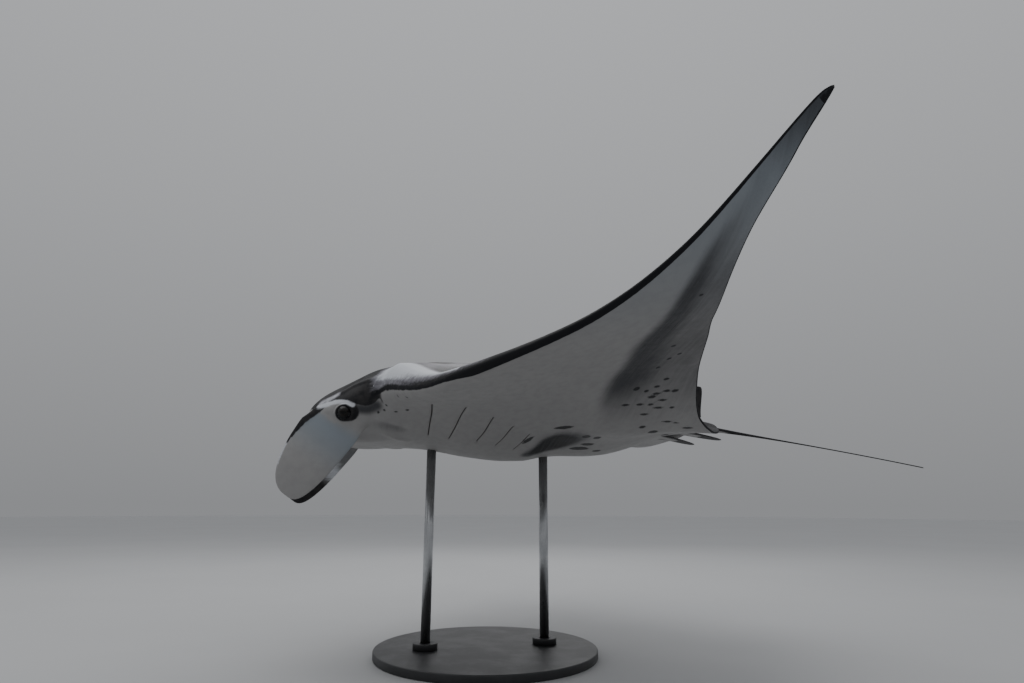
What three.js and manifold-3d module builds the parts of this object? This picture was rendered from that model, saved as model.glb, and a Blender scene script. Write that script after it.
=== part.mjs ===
// A reef manta ray, life size, held in mid stroke on a display stand.
// Millimetres, +Z up. The ray faces -Y and its left side is +X. The origin is the middle of the
// stand's underside. Parts of the body are worked out first on a flat ray, where "out" is the distance
// from the midline along the fin, "back" is the distance behind the upper jaw and "height" is measured
// from the fin's middle sheet. fold() then lifts the fins.
import * as THREE from 'three';
import { mergeVertices } from 'three/addons/utils/BufferGeometryUtils.js';
import Module from 'manifold-3d';

const wasm = await Module();
wasm.setup();

// ---------------------------------------------------------------- driving dimensions
const HALF_SPAN = 1750;        // midline to fin tip, along the fin
const FIN_LEVEL = 900;         // the fin's middle sheet above the floor, at the midline
const JAW_TO_STAND = 700;      // upper jaw to the middle of the stand
const GAP = 0.3;               // clearance between neighbouring pieces

const HEAD_HALF_WIDTH = 350;
const HEAD_LENGTH = 240;       // upper jaw to the notch where the head meets the fin
const HEAD_SQUARENESS = 6;     // how square the front corners of the head are
const HEAD_BLEND = [0.8, 1.15];      // shares of the head's half width between which head turns to fin
const NOTCH_ROUNDING = 45;
const HEAD_LEVEL = -38;        // height of the head's widest line
const HEAD_LEVEL_FADE = [200, 420];  // that line comes up to the fin's sheet between these, going back
const HEAD_ROUNDING = 105;     // depth of the round side of the head
const CHIN_SETBACK = 75;       // lower jaw behind the upper jaw
const CHIN_CORNERS = [200, 300];     // the setback fades out between these, going out
const HEAD_TWIST_FREE = 110;   // the head forward of this keeps level when the fins twist
const NECK_BACK = 370;         // where the head ends and the trunk starts
const SHOULDER_OUT = 420;      // where the trunk ends and the fin starts

// [out, back] along the front and rear edges of the fin
const FRONT_EDGE = [[350, 240], [700, 402], [1120, 733], [1350, 886], [1560, 1010], [1700, 1108],
  [1735, 1140], [HALF_SPAN, 1162]];
const REAR_EDGE = [[0, 1685], [120, 1664], [200, 1628], [280, 1578], [350, 1510], [400, 1450], [450, 1399],
  [520, 1356], [700, 1285], [900, 1206], [1050, 1142], [1400, 1060], [1600, 1102], [HALF_SPAN, 1170]];
// [back, height] along the midline
const BACK_LINE = [[0, 24], [90, 59], [175, 107], [280, 155], [490, 205], [700, 208], [945, 192],
  [1190, 126], [1470, 38], [1680, 0]];
const BELLY_LINE = [[0, -88], [175, -124], [420, -133], [630, -164], [760, -175], [840, -173], [920, -158],
  [1010, -150], [1110, -149], [1180, -143], [1260, -126], [1470, -55], [1570, -25], [1680, -8]];
const BACK_SPREAD = 408;       // how far out the back's hump reaches
const BELLY_SPREAD = 313;      // the same for the belly
const THROAT_SPREAD = 455;     // the same for the flat throat
const THROAT_FADE = [175, 455];      // the throat turns to belly between these, going back
const FIN_DEPTH_TOP = 38;      // middle sheet to the upper face, at the fin's root
const FIN_DEPTH_BELOW = 40;
const FIN_TAPER = 1.3;         // how fast the fin thins towards its tip
const FIN_CREST = 1.6;         // how full the fin is behind its front edge
const FIN_THINNING = 1.1;      // how fast the fin thins from its front edge to its rear edge
const FIN_ROUNDING = [8, 50];  // depth of the round front edge, at the tip and at the root
const EDGE_DEPTH = 2.5;        // half thickness of the fin's rear edge
const REAR_ROUNDING = [3, 26]; // depth of the round rear edge, on the fin and at the tail
const REAR_ROUNDING_OUT = 300; // the body's rounding ends here, going out
const CORNER_SAG = 38;         // how far the fins' rear corners hang beside the tail's root
const CORNER_BACK = [1320, 1560];    // the hang begins and is full between these, going back
const CORNER_OUT = 190;        // where it is deepest, going out
const CORNER_WIDTH = 85;       // how quickly it fades to either side of that
const TWIST_PIVOT = 0.35;      // share of the chord, from the front edge, round which the fin is turned
// [out, degrees]: slope of the fin along the span, and how far its chord is turned
const FIN_SLOPE = [[0, 0], [105, -2], [350, 4], [700, 10], [1050, 16], [1400, 41], [HALF_SPAN, 73]];
const FIN_TWIST = [[0, 0], [175, 0], [350, 5], [700, -7], [1225, -10.5], [HALF_SPAN, 0]];

const MOUTH_HALF_WIDTH = 245;
const MOUTH_HALF_HEIGHT = 44;
const MOUTH_DEPTH = 340;
const MOUTH_LEVEL = -74;
const MOUTH_SQUARENESS = 0.75; // below 1 the corners of the mouth are fuller

const EYE_RADIUS = 27;
const EYE_BACK = 132;
const EYE_LEVEL = -44;
const EYE_SINK = 14;           // eye centre inside the side of the head

// length hangs below the root and root is hidden in the head. lean is the forward part of its way down,
// bow and curl bend it along and across, flare sets it out from the head and toe turns its front edge in,
// less so by toeFade towards its end. neck is its front half's share at the root, and settled the share of
// the length where neck and flare end. The corners say how square its end is.
const LOBE = { length: 317, front: 131, rear: 73, thickness: 24, lean: 0.575, bow: 14, curl: 15,
  flare: -22, toe: 0.17, toeFade: 0.4, root: 34, tuck: 30, neck: 0.82, settled: 0.38,
  frontCorner: 2.5, rearCorner: 3.2 };
const LOBE_RIGHT = { length: 340, lean: 0.6 };   // the right lobe is let out a little further
const LOBE_ROOT = [286, 140, -63];   // middle of the lobe's root: out, back, height

const PELVIC = { length: 215, halfWidth: 48, thickness: 12, out: 88, back: 1470, height: -42, splay: 0.12,
  droop: 0.18, corner: 2.4 };
const DORSAL = { base: 185, height: 136, root: 25, thickness: 18, back: 1485, tip: 45, rake: 165,
  sweep: 1.2, corner: 5 };
const BLADE_END = 0.998;       // share of its length where a lobe or small fin is closed
const BLADE_THINNING = 0.45;   // share of its thickness left there
const BLADE_FULLNESS = 0.8;    // below 1 its section is fuller than an ellipse

const TAIL_START = [0, 1540, -2];
const TAIL_END = [-70, 2905, -168];
const TAIL_RADIUS = 24;
const TAIL_TIP_RADIUS = 2.5;
const TAIL_TAPER = 6;          // how fast the tail thins behind its root
const TAIL_SWING = [12, 0, 14];      // how far the tail's middle is off the straight line
const TAIL_CUTS = [0.34, 0.67];      // shares of the tail's length where its three lengths meet

const BASE_RADIUS = 420;
const BASE_THICKNESS = 30;
const ROD_RADIUS = 18;
const ROD_SPACING = 460;       // between the two rods, along the body
const COLLAR_RADIUS = 46;
const COLLAR_HEIGHT = 24;

const CHORD_STEPS = 14;        // steps from the front edge to the rear edge on each face
const CHORD_CROWDING = 1.7;    // above 1 the steps crowd towards the front edge
const FIN_STATION = 78;        // between the slices of the fins
const TAIL_STEPS = 30;         // steps along the whole tail

// ---------------------------------------------------------------- curves
// A smooth curve through knots that never overshoots them.
function curve(knots) {
  const x = knots.map((knot) => knot[0]);
  const y = knots.map((knot) => knot[1]);
  const last = knots.length - 1;
  const rise = x.slice(1).map((right, i) => (y[i + 1] - y[i]) / (right - x[i]));
  const slope = x.map((_, i) => {
    if (i === 0) return rise[0];
    if (i === last) return rise[last - 1];
    if (rise[i - 1] * rise[i] <= 0) return 0;
    return (2 * rise[i - 1] * rise[i]) / (rise[i - 1] + rise[i]);
  });
  return (at) => {
    const clamped = Math.min(Math.max(at, x[0]), x[last]);
    let i = 0;
    while (i < last - 1 && clamped > x[i + 1]) i += 1;
    const width = x[i + 1] - x[i];
    const t = (clamped - x[i]) / width;
    const near = (1 + 2 * t) * (1 - t) ** 2 * y[i] + t * (1 - t) ** 2 * width * slope[i];
    const far = t * t * (3 - 2 * t) * y[i + 1] + t * t * (t - 1) * width * slope[i + 1];
    return near + far;
  };
}

const ramp = (at, from, to) => THREE.MathUtils.smoothstep(at, from, to);
const mix = THREE.MathUtils.lerp;

const finFront = curve(FRONT_EDGE);
const finRear = curve(REAR_EDGE);
const backLine = curve(BACK_LINE);
const bellyLine = curve(BELLY_LINE);
const finSlope = curve(FIN_SLOPE);
const finTwist = curve(FIN_TWIST);

// The lower of two heights, with the corner where they cross rounded off.
function smoothLower(a, b, round) {
  const blend = THREE.MathUtils.clamp(0.5 + (b - a) / (2 * round), 0, 1);
  return mix(b, a, blend) - round * blend * (1 - blend);
}

// Distance behind the upper jaw of the front outline, head and fin together.
function frontEdge(out) {
  const [[rootOut, rootBack], [nextOut, nextBack]] = FRONT_EDGE;
  const rootSlope = (nextBack - rootBack) / (nextOut - rootOut);
  const fin = out < rootOut ? rootBack + rootSlope * (out - rootOut) : finFront(out);
  const head = HEAD_LENGTH * (out / HEAD_HALF_WIDTH) ** HEAD_SQUARENESS;
  return smoothLower(head, fin, NOTCH_ROUNDING);
}

// ---------------------------------------------------------------- the flat body
// 0 at an edge rising to 1 at a given depth, as a quarter round.
function quarterRound(distance, depth) {
  const left = 1 - Math.min(Math.max(distance / depth, 0), 1);
  return Math.sqrt(1 - left * left);
}

// The outline of the flat ray, as points along its front and its rear edge.
const EDGE_STATIONS = 240;
const edgeOuts = Array.from({ length: EDGE_STATIONS + 1 }, (_, i) => HALF_SPAN * (i / EDGE_STATIONS) ** 1.5);
const frontOutline = edgeOuts.map((out) => new THREE.Vector2(out, frontEdge(out)));
const rearOutline = edgeOuts.map((out) => new THREE.Vector2(out, finRear(out)));

function distanceTo(outline, out, back) {
  const place = new THREE.Vector2(out, back);
  const segment = new THREE.Vector2();
  let nearest = Infinity;
  for (let i = 0; i + 1 < outline.length; i += 1) {
    segment.subVectors(outline[i + 1], outline[i]);
    const along = new THREE.Vector2().subVectors(place, outline[i]).dot(segment) / segment.lengthSq();
    const foot = outline[i].clone().addScaledVector(segment, THREE.MathUtils.clamp(along, 0, 1));
    nearest = Math.min(nearest, foot.distanceTo(place));
  }
  return nearest;
}

// Upper and lower face of the flat ray at one place, as heights.
function faces(out, back) {
  const front = frontEdge(out);
  const rear = finRear(out);
  const share = THREE.MathUtils.clamp((back - front) / Math.max(rear - front, 1), 0, 1);
  const taper = (1 - out / HALF_SPAN) ** FIN_TAPER;
  const fin = taper * (1 - share) ** FIN_THINNING * (1 + FIN_CREST * share);

  const alongBody = back * (finRear(0) / rear);
  const [headInner, headOuter] = HEAD_BLEND.map((blend) => blend * HEAD_HALF_WIDTH);
  const headShare = 1 - ramp(out, headInner, headOuter);
  const throatShare = 1 - ramp(back, ...THROAT_FADE);
  const backSpread = Math.exp(-((out / BACK_SPREAD) ** 2));
  const bellySpread = mix(Math.exp(-((out / BELLY_SPREAD) ** 2)),
    Math.exp(-((out / THROAT_SPREAD) ** 4)), throatShare * headShare);
  const top = backLine(alongBody) * backSpread + FIN_DEPTH_TOP * fin * (1 - backSpread) + EDGE_DEPTH;
  const below = bellyLine(alongBody) * bellySpread - FIN_DEPTH_BELOW * fin * (1 - bellySpread) - EDGE_DEPTH;

  const level = HEAD_LEVEL * headShare * (1 - ramp(back, ...HEAD_LEVEL_FADE));
  const rounding = mix(mix(...FIN_ROUNDING, taper), HEAD_ROUNDING, headShare);
  const inside = distanceTo(frontOutline, out, back);
  const chin = CHIN_SETBACK * headShare * (1 - ramp(out, ...CHIN_CORNERS));
  const rearDepth = Math.max(REAR_ROUNDING[0], REAR_ROUNDING[1] * (1 - out / REAR_ROUNDING_OUT));
  const rearRound = quarterRound(distanceTo(rearOutline, out, back) + 1, rearDepth);
  return {
    top: level + (top - level) * quarterRound(inside, rounding) * rearRound,
    below: level + (below - level) * quarterRound(inside - chin, rounding) * rearRound,
  };
}

// ---------------------------------------------------------------- lifting the fins
const SPINE_STEP = 7;
const spine = [[0, 0]];
for (let out = SPINE_STEP; out <= HALF_SPAN; out += SPINE_STEP) {
  const slope = THREE.MathUtils.degToRad(finSlope(out - SPINE_STEP / 2));
  const [x, z] = spine[spine.length - 1];
  spine.push([x + SPINE_STEP * Math.cos(slope), z + SPINE_STEP * Math.sin(slope)]);
}

// How far the rear corners of the fins hang beside the tail's root.
function cornerSag(reach, back) {
  return CORNER_SAG * Math.exp(-(((reach - CORNER_OUT) / CORNER_WIDTH) ** 2)) * ramp(back, ...CORNER_BACK);
}

// Moves a place on the flat ray to where it is on the posed one, over the stand.
function fold(out, back, height) {
  const reach = Math.min(Math.abs(out), HALF_SPAN);
  const at = reach / SPINE_STEP;
  const i = Math.min(Math.floor(at), spine.length - 2);
  const x = mix(spine[i][0], spine[i + 1][0], at - i);
  const z = mix(spine[i][1], spine[i + 1][1], at - i);
  const slope = THREE.MathUtils.degToRad(finSlope(reach));
  const freed = reach < SHOULDER_OUT ? ramp(back, HEAD_TWIST_FREE, HEAD_LENGTH) : 1;
  const twist = THREE.MathUtils.degToRad(finTwist(reach)) * freed;
  const pivot = mix(frontEdge(Math.max(reach, HEAD_HALF_WIDTH)), finRear(reach), TWIST_PIVOT);
  const along = back - pivot;
  const px = x + along * Math.sin(twist) * Math.sin(slope) - height * Math.sin(slope) * Math.cos(twist);
  const py = pivot + along * Math.cos(twist) + height * Math.sin(twist);
  const pz = z - along * Math.sin(twist) * Math.cos(slope) + height * Math.cos(slope) * Math.cos(twist)
    - cornerSag(reach, back);
  return new THREE.Vector3(out < 0 ? -px : px, py - JAW_TO_STAND, pz + FIN_LEVEL);
}

// ---------------------------------------------------------------- closed shapes from rings
// Every ring starts at its front, runs over one face and comes back along the other, so point i faces
// point (count - i). The two end rings are closed by strips between facing points.
function loft(rings) {
  const count = rings[0].length;
  const positions = rings.flat().flatMap((point) => [point.x, point.y, point.z]);
  const index = [];
  for (let r = 0; r + 1 < rings.length; r += 1) {
    for (let i = 0; i < count; i += 1) {
      const next = (i + 1) % count;
      const a = r * count + i;
      const b = r * count + next;
      index.push(a, b, b + count, a, b + count, a + count);
    }
  }
  const closeEnd = (start, flip) => {
    const push = (a, b, c) => (flip ? index.push(start + a, start + c, start + b)
      : index.push(start + a, start + b, start + c));
    const half = Math.floor(count / 2);
    push(0, count - 1, 1);
    for (let i = 1; i < half; i += 1) {
      push(i, count - i, count - i - 1);
      push(i, count - i - 1, i + 1);
    }
    if (count % 2 === 0) push(half - 1, half + 1, half);
  };
  closeEnd(0, false);
  closeEnd((rings.length - 1) * count, true);
  const geometry = new THREE.BufferGeometry();
  geometry.setAttribute('position', new THREE.Float32BufferAttribute(positions, 3));
  geometry.setIndex(index);
  return geometry;
}

function toSolid(geometry) {
  const bare = geometry.clone();
  bare.deleteAttribute('normal');
  bare.deleteAttribute('uv');
  const merged = mergeVertices(bare, 1e-4);
  const vertProperties = new Float32Array(merged.attributes.position.array);
  let triVerts = new Uint32Array(merged.index.array);
  let volume = 0;
  const corner = (i) => new THREE.Vector3().fromArray(vertProperties, 3 * triVerts[i]);
  for (let i = 0; i < triVerts.length; i += 3) {
    volume += corner(i).dot(corner(i + 1).cross(corner(i + 2)));
  }
  if (volume < 0) triVerts = triVerts.map((_, i) => triVerts[i - (i % 3) + [0, 2, 1][i % 3]]);
  return new wasm.Manifold(new wasm.Mesh({ numProp: 3, vertProperties, triVerts }));
}

function toGeometry(solid) {
  const mesh = solid.getMesh();
  const geometry = new THREE.BufferGeometry();
  geometry.setAttribute('position', new THREE.Float32BufferAttribute(mesh.vertProperties, 3));
  geometry.setIndex(Array.from(mesh.triVerts));
  geometry.computeVertexNormals();
  return geometry;
}

// What is left of a shape outside its neighbours, with a gap to them.
const NUDGES = [[1, 0, 0], [-1, 0, 0], [0, 1, 0], [0, -1, 0], [0, 0, 1], [0, 0, -1]];
function outside(shape, ...neighbours) {
  let left = toSolid(shape);
  for (const neighbour of neighbours) {
    for (const [x, y, z] of NUDGES) {
      left = left.subtract(toSolid(neighbour.clone().translate(x * GAP, y * GAP, z * GAP)));
    }
  }
  return left;
}

// One slice of the body from front edge to rear edge, at a distance out from the midline.
function bodyRing(out) {
  const reach = Math.abs(out);
  const front = frontEdge(reach);
  const rear = finRear(reach);
  const backs = [];
  for (let i = 0; i <= CHORD_STEPS; i += 1) backs.push(mix(front, rear, (i / CHORD_STEPS) ** CHORD_CROWDING));
  const upper = backs.map((back) => fold(out, back, faces(reach, back).top));
  const lower = backs.slice(1).map((back) => fold(out, back, faces(reach, back).below));
  return [...upper, ...lower.reverse()];
}

// ---------------------------------------------------------------- trunk, head and pectoral fins
const CORE_STATIONS = [0, 70, 135, 190, 235, 270, 292, 308, 321, 332, 341, 350, 360, 380, SHOULDER_OUT];
const coreOuts = [...CORE_STATIONS.slice(1).reverse().map((out) => -out), ...CORE_STATIONS];
const coreGeometry = loft(coreOuts.map(bodyRing));
const core = toSolid(coreGeometry);

function box(width, depth, height, x, y, z) {
  return toSolid(new THREE.BoxGeometry(width, depth, height).translate(x, y, z));
}

const FAR = 4000;
const neckY = NECK_BACK - JAW_TO_STAND;
const beforeNeck = box(FAR, FAR, FAR, 0, neckY - FAR / 2 - GAP / 2, FIN_LEVEL);
const behindNeck = box(FAR, FAR, FAR, 0, neckY + FAR / 2 + GAP / 2, FIN_LEVEL);

// The mouth: a flattened ball, squared off towards the corners of the jaws.
function mouthPocket() {
  const ball = new THREE.SphereGeometry(1, 24, 12);
  const { position } = ball.attributes;
  for (let i = 0; i < position.count; i += 1) {
    const x = position.getX(i);
    position.setX(i, Math.sign(x) * Math.abs(x) ** MOUTH_SQUARENESS);
  }
  return ball.scale(MOUTH_HALF_WIDTH, MOUTH_DEPTH, MOUTH_HALF_HEIGHT)
    .translate(0, -JAW_TO_STAND, FIN_LEVEL + MOUTH_LEVEL);
}

const eyeOut = HEAD_HALF_WIDTH * (EYE_BACK / HEAD_LENGTH) ** (1 / HEAD_SQUARENESS);
function eyeball(side, radius) {
  const centre = fold(side * (eyeOut - EYE_SINK), EYE_BACK, EYE_LEVEL);
  return new THREE.SphereGeometry(radius, 14, 9).translate(centre.x, centre.y, centre.z);
}

const head = core.intersect(beforeNeck)
  .subtract(toSolid(mouthPocket()))
  .subtract(toSolid(eyeball(1, EYE_RADIUS + GAP)))
  .subtract(toSolid(eyeball(-1, EYE_RADIUS + GAP)));
const trunk = core.intersect(behindNeck);

const FIN_LENGTHS = { root: [SHOULDER_OUT, 880], middle: [880, 1310], tip: [1310, HALF_SPAN - 3] };
function finLength(side, [from, to]) {
  const steps = Math.round((to - from) / FIN_STATION);
  const rings = [];
  for (let i = 0; i <= steps; i += 1) {
    const out = mix(from + GAP / 2, to - GAP / 2, i / steps);
    rings.push(bodyRing(side * out));
  }
  return loft(rings);
}

// ---------------------------------------------------------------- lobes and small fins
// A thin fin drawn in its own sheet. sheet(along, across) places its middle, normal is the way it faces,
// and halves(share) gives how far it reaches to the front and to the rear at a share of its length.
function blade({ length, thickness, sheet, normal, halves, steps, around }) {
  const rings = [];
  for (let i = 0; i <= steps; i += 1) {
    const share = Math.sin((Math.PI / 2) * (i / steps)) * BLADE_END;
    const [front, rear] = halves(share);
    const depth = (thickness / 2) * mix(1, BLADE_THINNING, share);
    const ring = [];
    const total = 2 * around + 1;
    for (let k = 0; k < total; k += 1) {
      const turn = (2 * Math.PI * k) / total;
      const across = -Math.cos(turn) * (Math.cos(turn) > 0 ? front : rear);
      const rise = depth * Math.sign(Math.sin(turn)) * Math.abs(Math.sin(turn)) ** BLADE_FULLNESS;
      ring.push(sheet(length * share, across).addScaledVector(normal, rise));
    }
    rings.push(ring);
  }
  return loft(rings);
}

const rounded = (share, squareness) => (1 - share ** squareness) ** (1 / squareness);

// The lobe beside the mouth: it hangs down and forward from the side of the head, its broad face out.
function headLobe(side) {
  const { length, lean, root } = side > 0 ? LOBE : { ...LOBE, ...LOBE_RIGHT };
  const upright = Math.sqrt(1 - lean ** 2);
  const sheet = (along, across) => {
    const share = (along - root) / length;
    const back = LOBE_ROOT[1] - lean * (along - root) + upright * across;
    const height = LOBE_ROOT[2] - upright * (along - root) - lean * across;
    const bow = LOBE.bow * Math.sin(Math.PI * Math.max(share, 0)) - LOBE.curl * (across / LOBE.front) ** 2;
    const toe = LOBE.toe * across * (1 - LOBE.toeFade * share);
    const tuck = LOBE.tuck * Math.max(1 - along / root, 0) ** 2;
    const flare = LOBE.flare * THREE.MathUtils.clamp(share / LOBE.settled, 0, 1);
    const out = LOBE_ROOT[0] + flare + bow + toe - tuck;
    return new THREE.Vector3(side * out, back - JAW_TO_STAND, height + FIN_LEVEL);
  };
  const halves = (share) => [
    LOBE.front * mix(LOBE.neck, 1, ramp(share, 0, LOBE.settled)) * rounded(share, LOBE.frontCorner),
    LOBE.rear * rounded(share, LOBE.rearCorner),
  ];
  return blade({ length: length + root, thickness: LOBE.thickness, sheet, halves,
    normal: new THREE.Vector3(side, 0, 0), steps: 13, around: 8 });
}

function pelvicFin(side) {
  const sheet = (along, across) => new THREE.Vector3(
    side * (PELVIC.out - across + PELVIC.splay * along),
    PELVIC.back + along - JAW_TO_STAND,
    PELVIC.height - PELVIC.droop * along + FIN_LEVEL,
  );
  const halves = (share) => {
    const half = PELVIC.halfWidth * rounded(share, PELVIC.corner);
    return [half, half];
  };
  return blade({ length: PELVIC.length, thickness: PELVIC.thickness, sheet, halves,
    normal: new THREE.Vector3(0, 0, 1), steps: 7, around: 6 });
}

function dorsalFin() {
  const length = DORSAL.height + DORSAL.root;
  const sheet = (along, across) => new THREE.Vector3(
    0,
    DORSAL.back + across + DORSAL.rake * (along / length) ** DORSAL.sweep - JAW_TO_STAND,
    backLine(DORSAL.back) - DORSAL.root + along + FIN_LEVEL,
  );
  const halves = (share) => [0, mix(DORSAL.base, DORSAL.tip, share) * rounded(share, DORSAL.corner)];
  return blade({ length, thickness: DORSAL.thickness, sheet, halves,
    normal: new THREE.Vector3(1, 0, 0), steps: 7, around: 6 });
}

// ---------------------------------------------------------------- tail
const tailStart = new THREE.Vector3(TAIL_START[0], TAIL_START[1] - JAW_TO_STAND, TAIL_START[2] + FIN_LEVEL);
const tailEnd = new THREE.Vector3(TAIL_END[0], TAIL_END[1] - JAW_TO_STAND, TAIL_END[2] + FIN_LEVEL);
const tailPath = new THREE.QuadraticBezierCurve3(
  tailStart,
  tailStart.clone().lerp(tailEnd, 0.5).add(new THREE.Vector3(...TAIL_SWING)),
  tailEnd,
);

function tailLength(from, to) {
  const steps = Math.round(TAIL_STEPS * (to - from));
  const sides = 9;
  const rings = [];
  for (let i = 0; i <= steps; i += 1) {
    const share = mix(from, to, i / steps);
    const centre = tailPath.getPoint(share);
    const radius = mix(TAIL_TIP_RADIUS, TAIL_RADIUS, (1 - share) ** TAIL_TAPER);
    const ring = [];
    for (let k = 0; k < sides; k += 1) {
      const turn = (2 * Math.PI * k) / sides;
      ring.push(new THREE.Vector3(centre.x + radius * Math.cos(turn), centre.y,
        centre.z + radius * Math.sin(turn)));
    }
    rings.push(ring);
  }
  return loft(rings);
}

// ---------------------------------------------------------------- stand
function standBase() {
  const edge = 4;
  const profile = [[0, 0], [BASE_RADIUS - edge, 0], [BASE_RADIUS, edge],
    [BASE_RADIUS, BASE_THICKNESS - edge], [BASE_RADIUS - edge, BASE_THICKNESS], [0, BASE_THICKNESS]];
  return new THREE.LatheGeometry(profile.map(([r, h]) => new THREE.Vector2(r, h)), 40)
    .rotateX(Math.PI / 2);
}

function cylinder(radius, from, to, y, sides) {
  return new THREE.CylinderGeometry(radius, radius, to - from, sides)
    .rotateX(Math.PI / 2)
    .translate(0, y, (from + to) / 2);
}

// ---------------------------------------------------------------- the model
const skinDark = { color: 0x23282f, roughness: 0.5, metalness: 0 };
const skinPale = { color: 0xb9bdc0, roughness: 0.55, metalness: 0 };
const eyeGloss = { color: 0x0b0d10, roughness: 0.12, metalness: 0 };
const standPaint = { color: 0x2c2e31, roughness: 0.45, metalness: 0.1 };
const rodSteel = { color: 0xb8bbbe, roughness: 0.3, metalness: 0.9 };

const group = new THREE.Group();
function add(name, shape, finish) {
  const geometry = shape.isBufferGeometry ? toGeometry(toSolid(shape)) : toGeometry(shape);
  const mesh = new THREE.Mesh(geometry, new THREE.MeshStandardMaterial(finish));
  mesh.name = name;
  group.add(mesh);
}

add('head', head, skinDark);
add('trunk', trunk, skinDark);
const tailGap = GAP / tailPath.getLength();
const [firstCut, secondCut] = TAIL_CUTS;
const tailBase = tailLength(0, firstCut - tailGap / 2);
for (const [sideName, side] of [['left', 1], ['right', -1]]) {
  for (const [part, range] of Object.entries(FIN_LENGTHS)) {
    add(`pectoral_fin_${sideName}_${part}`, finLength(side, range), skinPale);
  }
  add(`cephalic_fin_${sideName}`, outside(headLobe(side), coreGeometry, eyeball(side, EYE_RADIUS)), skinPale);
  add(`pelvic_fin_${sideName}`, outside(pelvicFin(side), coreGeometry, tailBase), skinPale);
  add(`eye_${sideName}`, eyeball(side, EYE_RADIUS), eyeGloss);
}
add('dorsal_fin', outside(dorsalFin(), coreGeometry, tailBase), skinDark);
add('tail_base', outside(tailBase, coreGeometry), skinDark);
add('tail_middle', tailLength(firstCut + tailGap / 2, secondCut - tailGap / 2), skinDark);
add('tail_tip', tailLength(secondCut + tailGap / 2, 1), skinDark);

add('stand_base', standBase(), standPaint);
for (const [place, y] of [['front', -ROD_SPACING / 2], ['rear', ROD_SPACING / 2]]) {
  const rod = cylinder(ROD_RADIUS, BASE_THICKNESS + GAP, FIN_LEVEL, y, 20);
  const hole = toSolid(cylinder(ROD_RADIUS + GAP, 0, FIN_LEVEL, y, 20));
  const collar = toSolid(cylinder(COLLAR_RADIUS, BASE_THICKNESS + GAP, BASE_THICKNESS + COLLAR_HEIGHT, y, 24));
  add(`stand_rod_${place}`, outside(rod, coreGeometry), rodSteel);
  add(`stand_collar_${place}`, collar.subtract(hole), standPaint);
}

export default group;
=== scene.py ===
"""A reef manta ray, life size and still, with its skin, its eyes and the finishes of its display stand.

The ray is worked out flat first: "out" runs from the midline along the fin, "back" runs from the upper
jaw to the tail and "height" stands on the fin's middle sheet. The fold then lifts the fins. Metres.
"""

import logging
import math
from collections.abc import Sequence
from dataclasses import dataclass, field
from enum import Enum
from typing import ClassVar

import bmesh
import bpy
import numpy as np
from mathutils import Matrix, Vector
from mathutils.geometry import delaunay_2d_cdt
from mathutils.kdtree import KDTree


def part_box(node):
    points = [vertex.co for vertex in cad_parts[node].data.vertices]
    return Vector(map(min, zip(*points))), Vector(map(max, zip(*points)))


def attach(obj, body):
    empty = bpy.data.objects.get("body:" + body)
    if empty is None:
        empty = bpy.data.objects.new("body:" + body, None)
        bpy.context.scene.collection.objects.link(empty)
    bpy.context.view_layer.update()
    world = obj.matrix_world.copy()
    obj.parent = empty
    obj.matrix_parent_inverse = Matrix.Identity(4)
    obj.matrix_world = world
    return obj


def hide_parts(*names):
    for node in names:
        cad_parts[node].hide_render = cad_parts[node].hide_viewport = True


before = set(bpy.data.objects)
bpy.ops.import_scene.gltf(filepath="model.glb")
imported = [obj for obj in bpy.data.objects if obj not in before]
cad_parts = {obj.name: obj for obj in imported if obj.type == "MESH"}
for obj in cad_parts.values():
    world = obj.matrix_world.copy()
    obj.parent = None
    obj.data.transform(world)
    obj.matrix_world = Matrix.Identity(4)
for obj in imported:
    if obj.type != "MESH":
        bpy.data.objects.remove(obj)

log = logging.getLogger("manta")

Array = np.ndarray
Pair = tuple[float, float]
Three = tuple[float, float, float]
Four = tuple[float, float, float, float]
Colour = Three
Socket = bpy.types.NodeSocket

BODY = "root"  # the one body that everything rides on
SIDES = (1, -1)  # left and right
AT_ONCE = 4000  # places measured together, to spare memory
TINY = 1e-12  # stands in for a length of nothing
POSED_STEP = 0.006  # between the points of a line drawn on the posed ray
FLAT_STEP = 0.02  # between the points of a marking drawn on the flat ray
CLEAR = 0.1  # markings of one side of the head keep this far from the midline
SEED = 11  # for the spots of the right side


# ---------------------------------------------------------------- small sums
def mix(low: Array, high: Array, share: Array) -> Array:
    """Returns the value a share of the way from low to high."""
    return low + (high - low) * share


def ramp(at: Array, start: float, end: float) -> Array:
    """Returns 0 before start and 1 after end, with a smooth rise between."""
    share = np.clip((at - start) / (end - start), 0, 1)
    return share * share * (3 - 2 * share)


def bell(at: Array, middle: float, spread: float) -> Array:
    """Returns a hump that is 1 at the middle."""
    return np.exp(-(((at - middle) / spread) ** 2))


def quarter_round(distance: Array, depth: Array) -> Array:
    """Returns 0 at an edge, rising to 1 at the depth as a quarter round."""
    left = 1 - np.clip(distance / depth, 0, 1)
    return np.sqrt(1 - left * left)


def turns(count: int) -> Array:
    """Returns angles spaced evenly once round."""
    return np.linspace(0, 2 * math.pi, count, endpoint=False)


def square_to(line: Array) -> Array:
    """Works out which way is square to a flat line.

    Args:
        line: the line's points, one row each.

    Returns:
        A unit direction at each point, a quarter turn on from the line's run.
    """
    run = np.gradient(line, axis=0)
    run = run / np.linalg.norm(run, axis=1)[:, None]
    return np.stack((-run[:, 1], run[:, 0]), axis=1)


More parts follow.
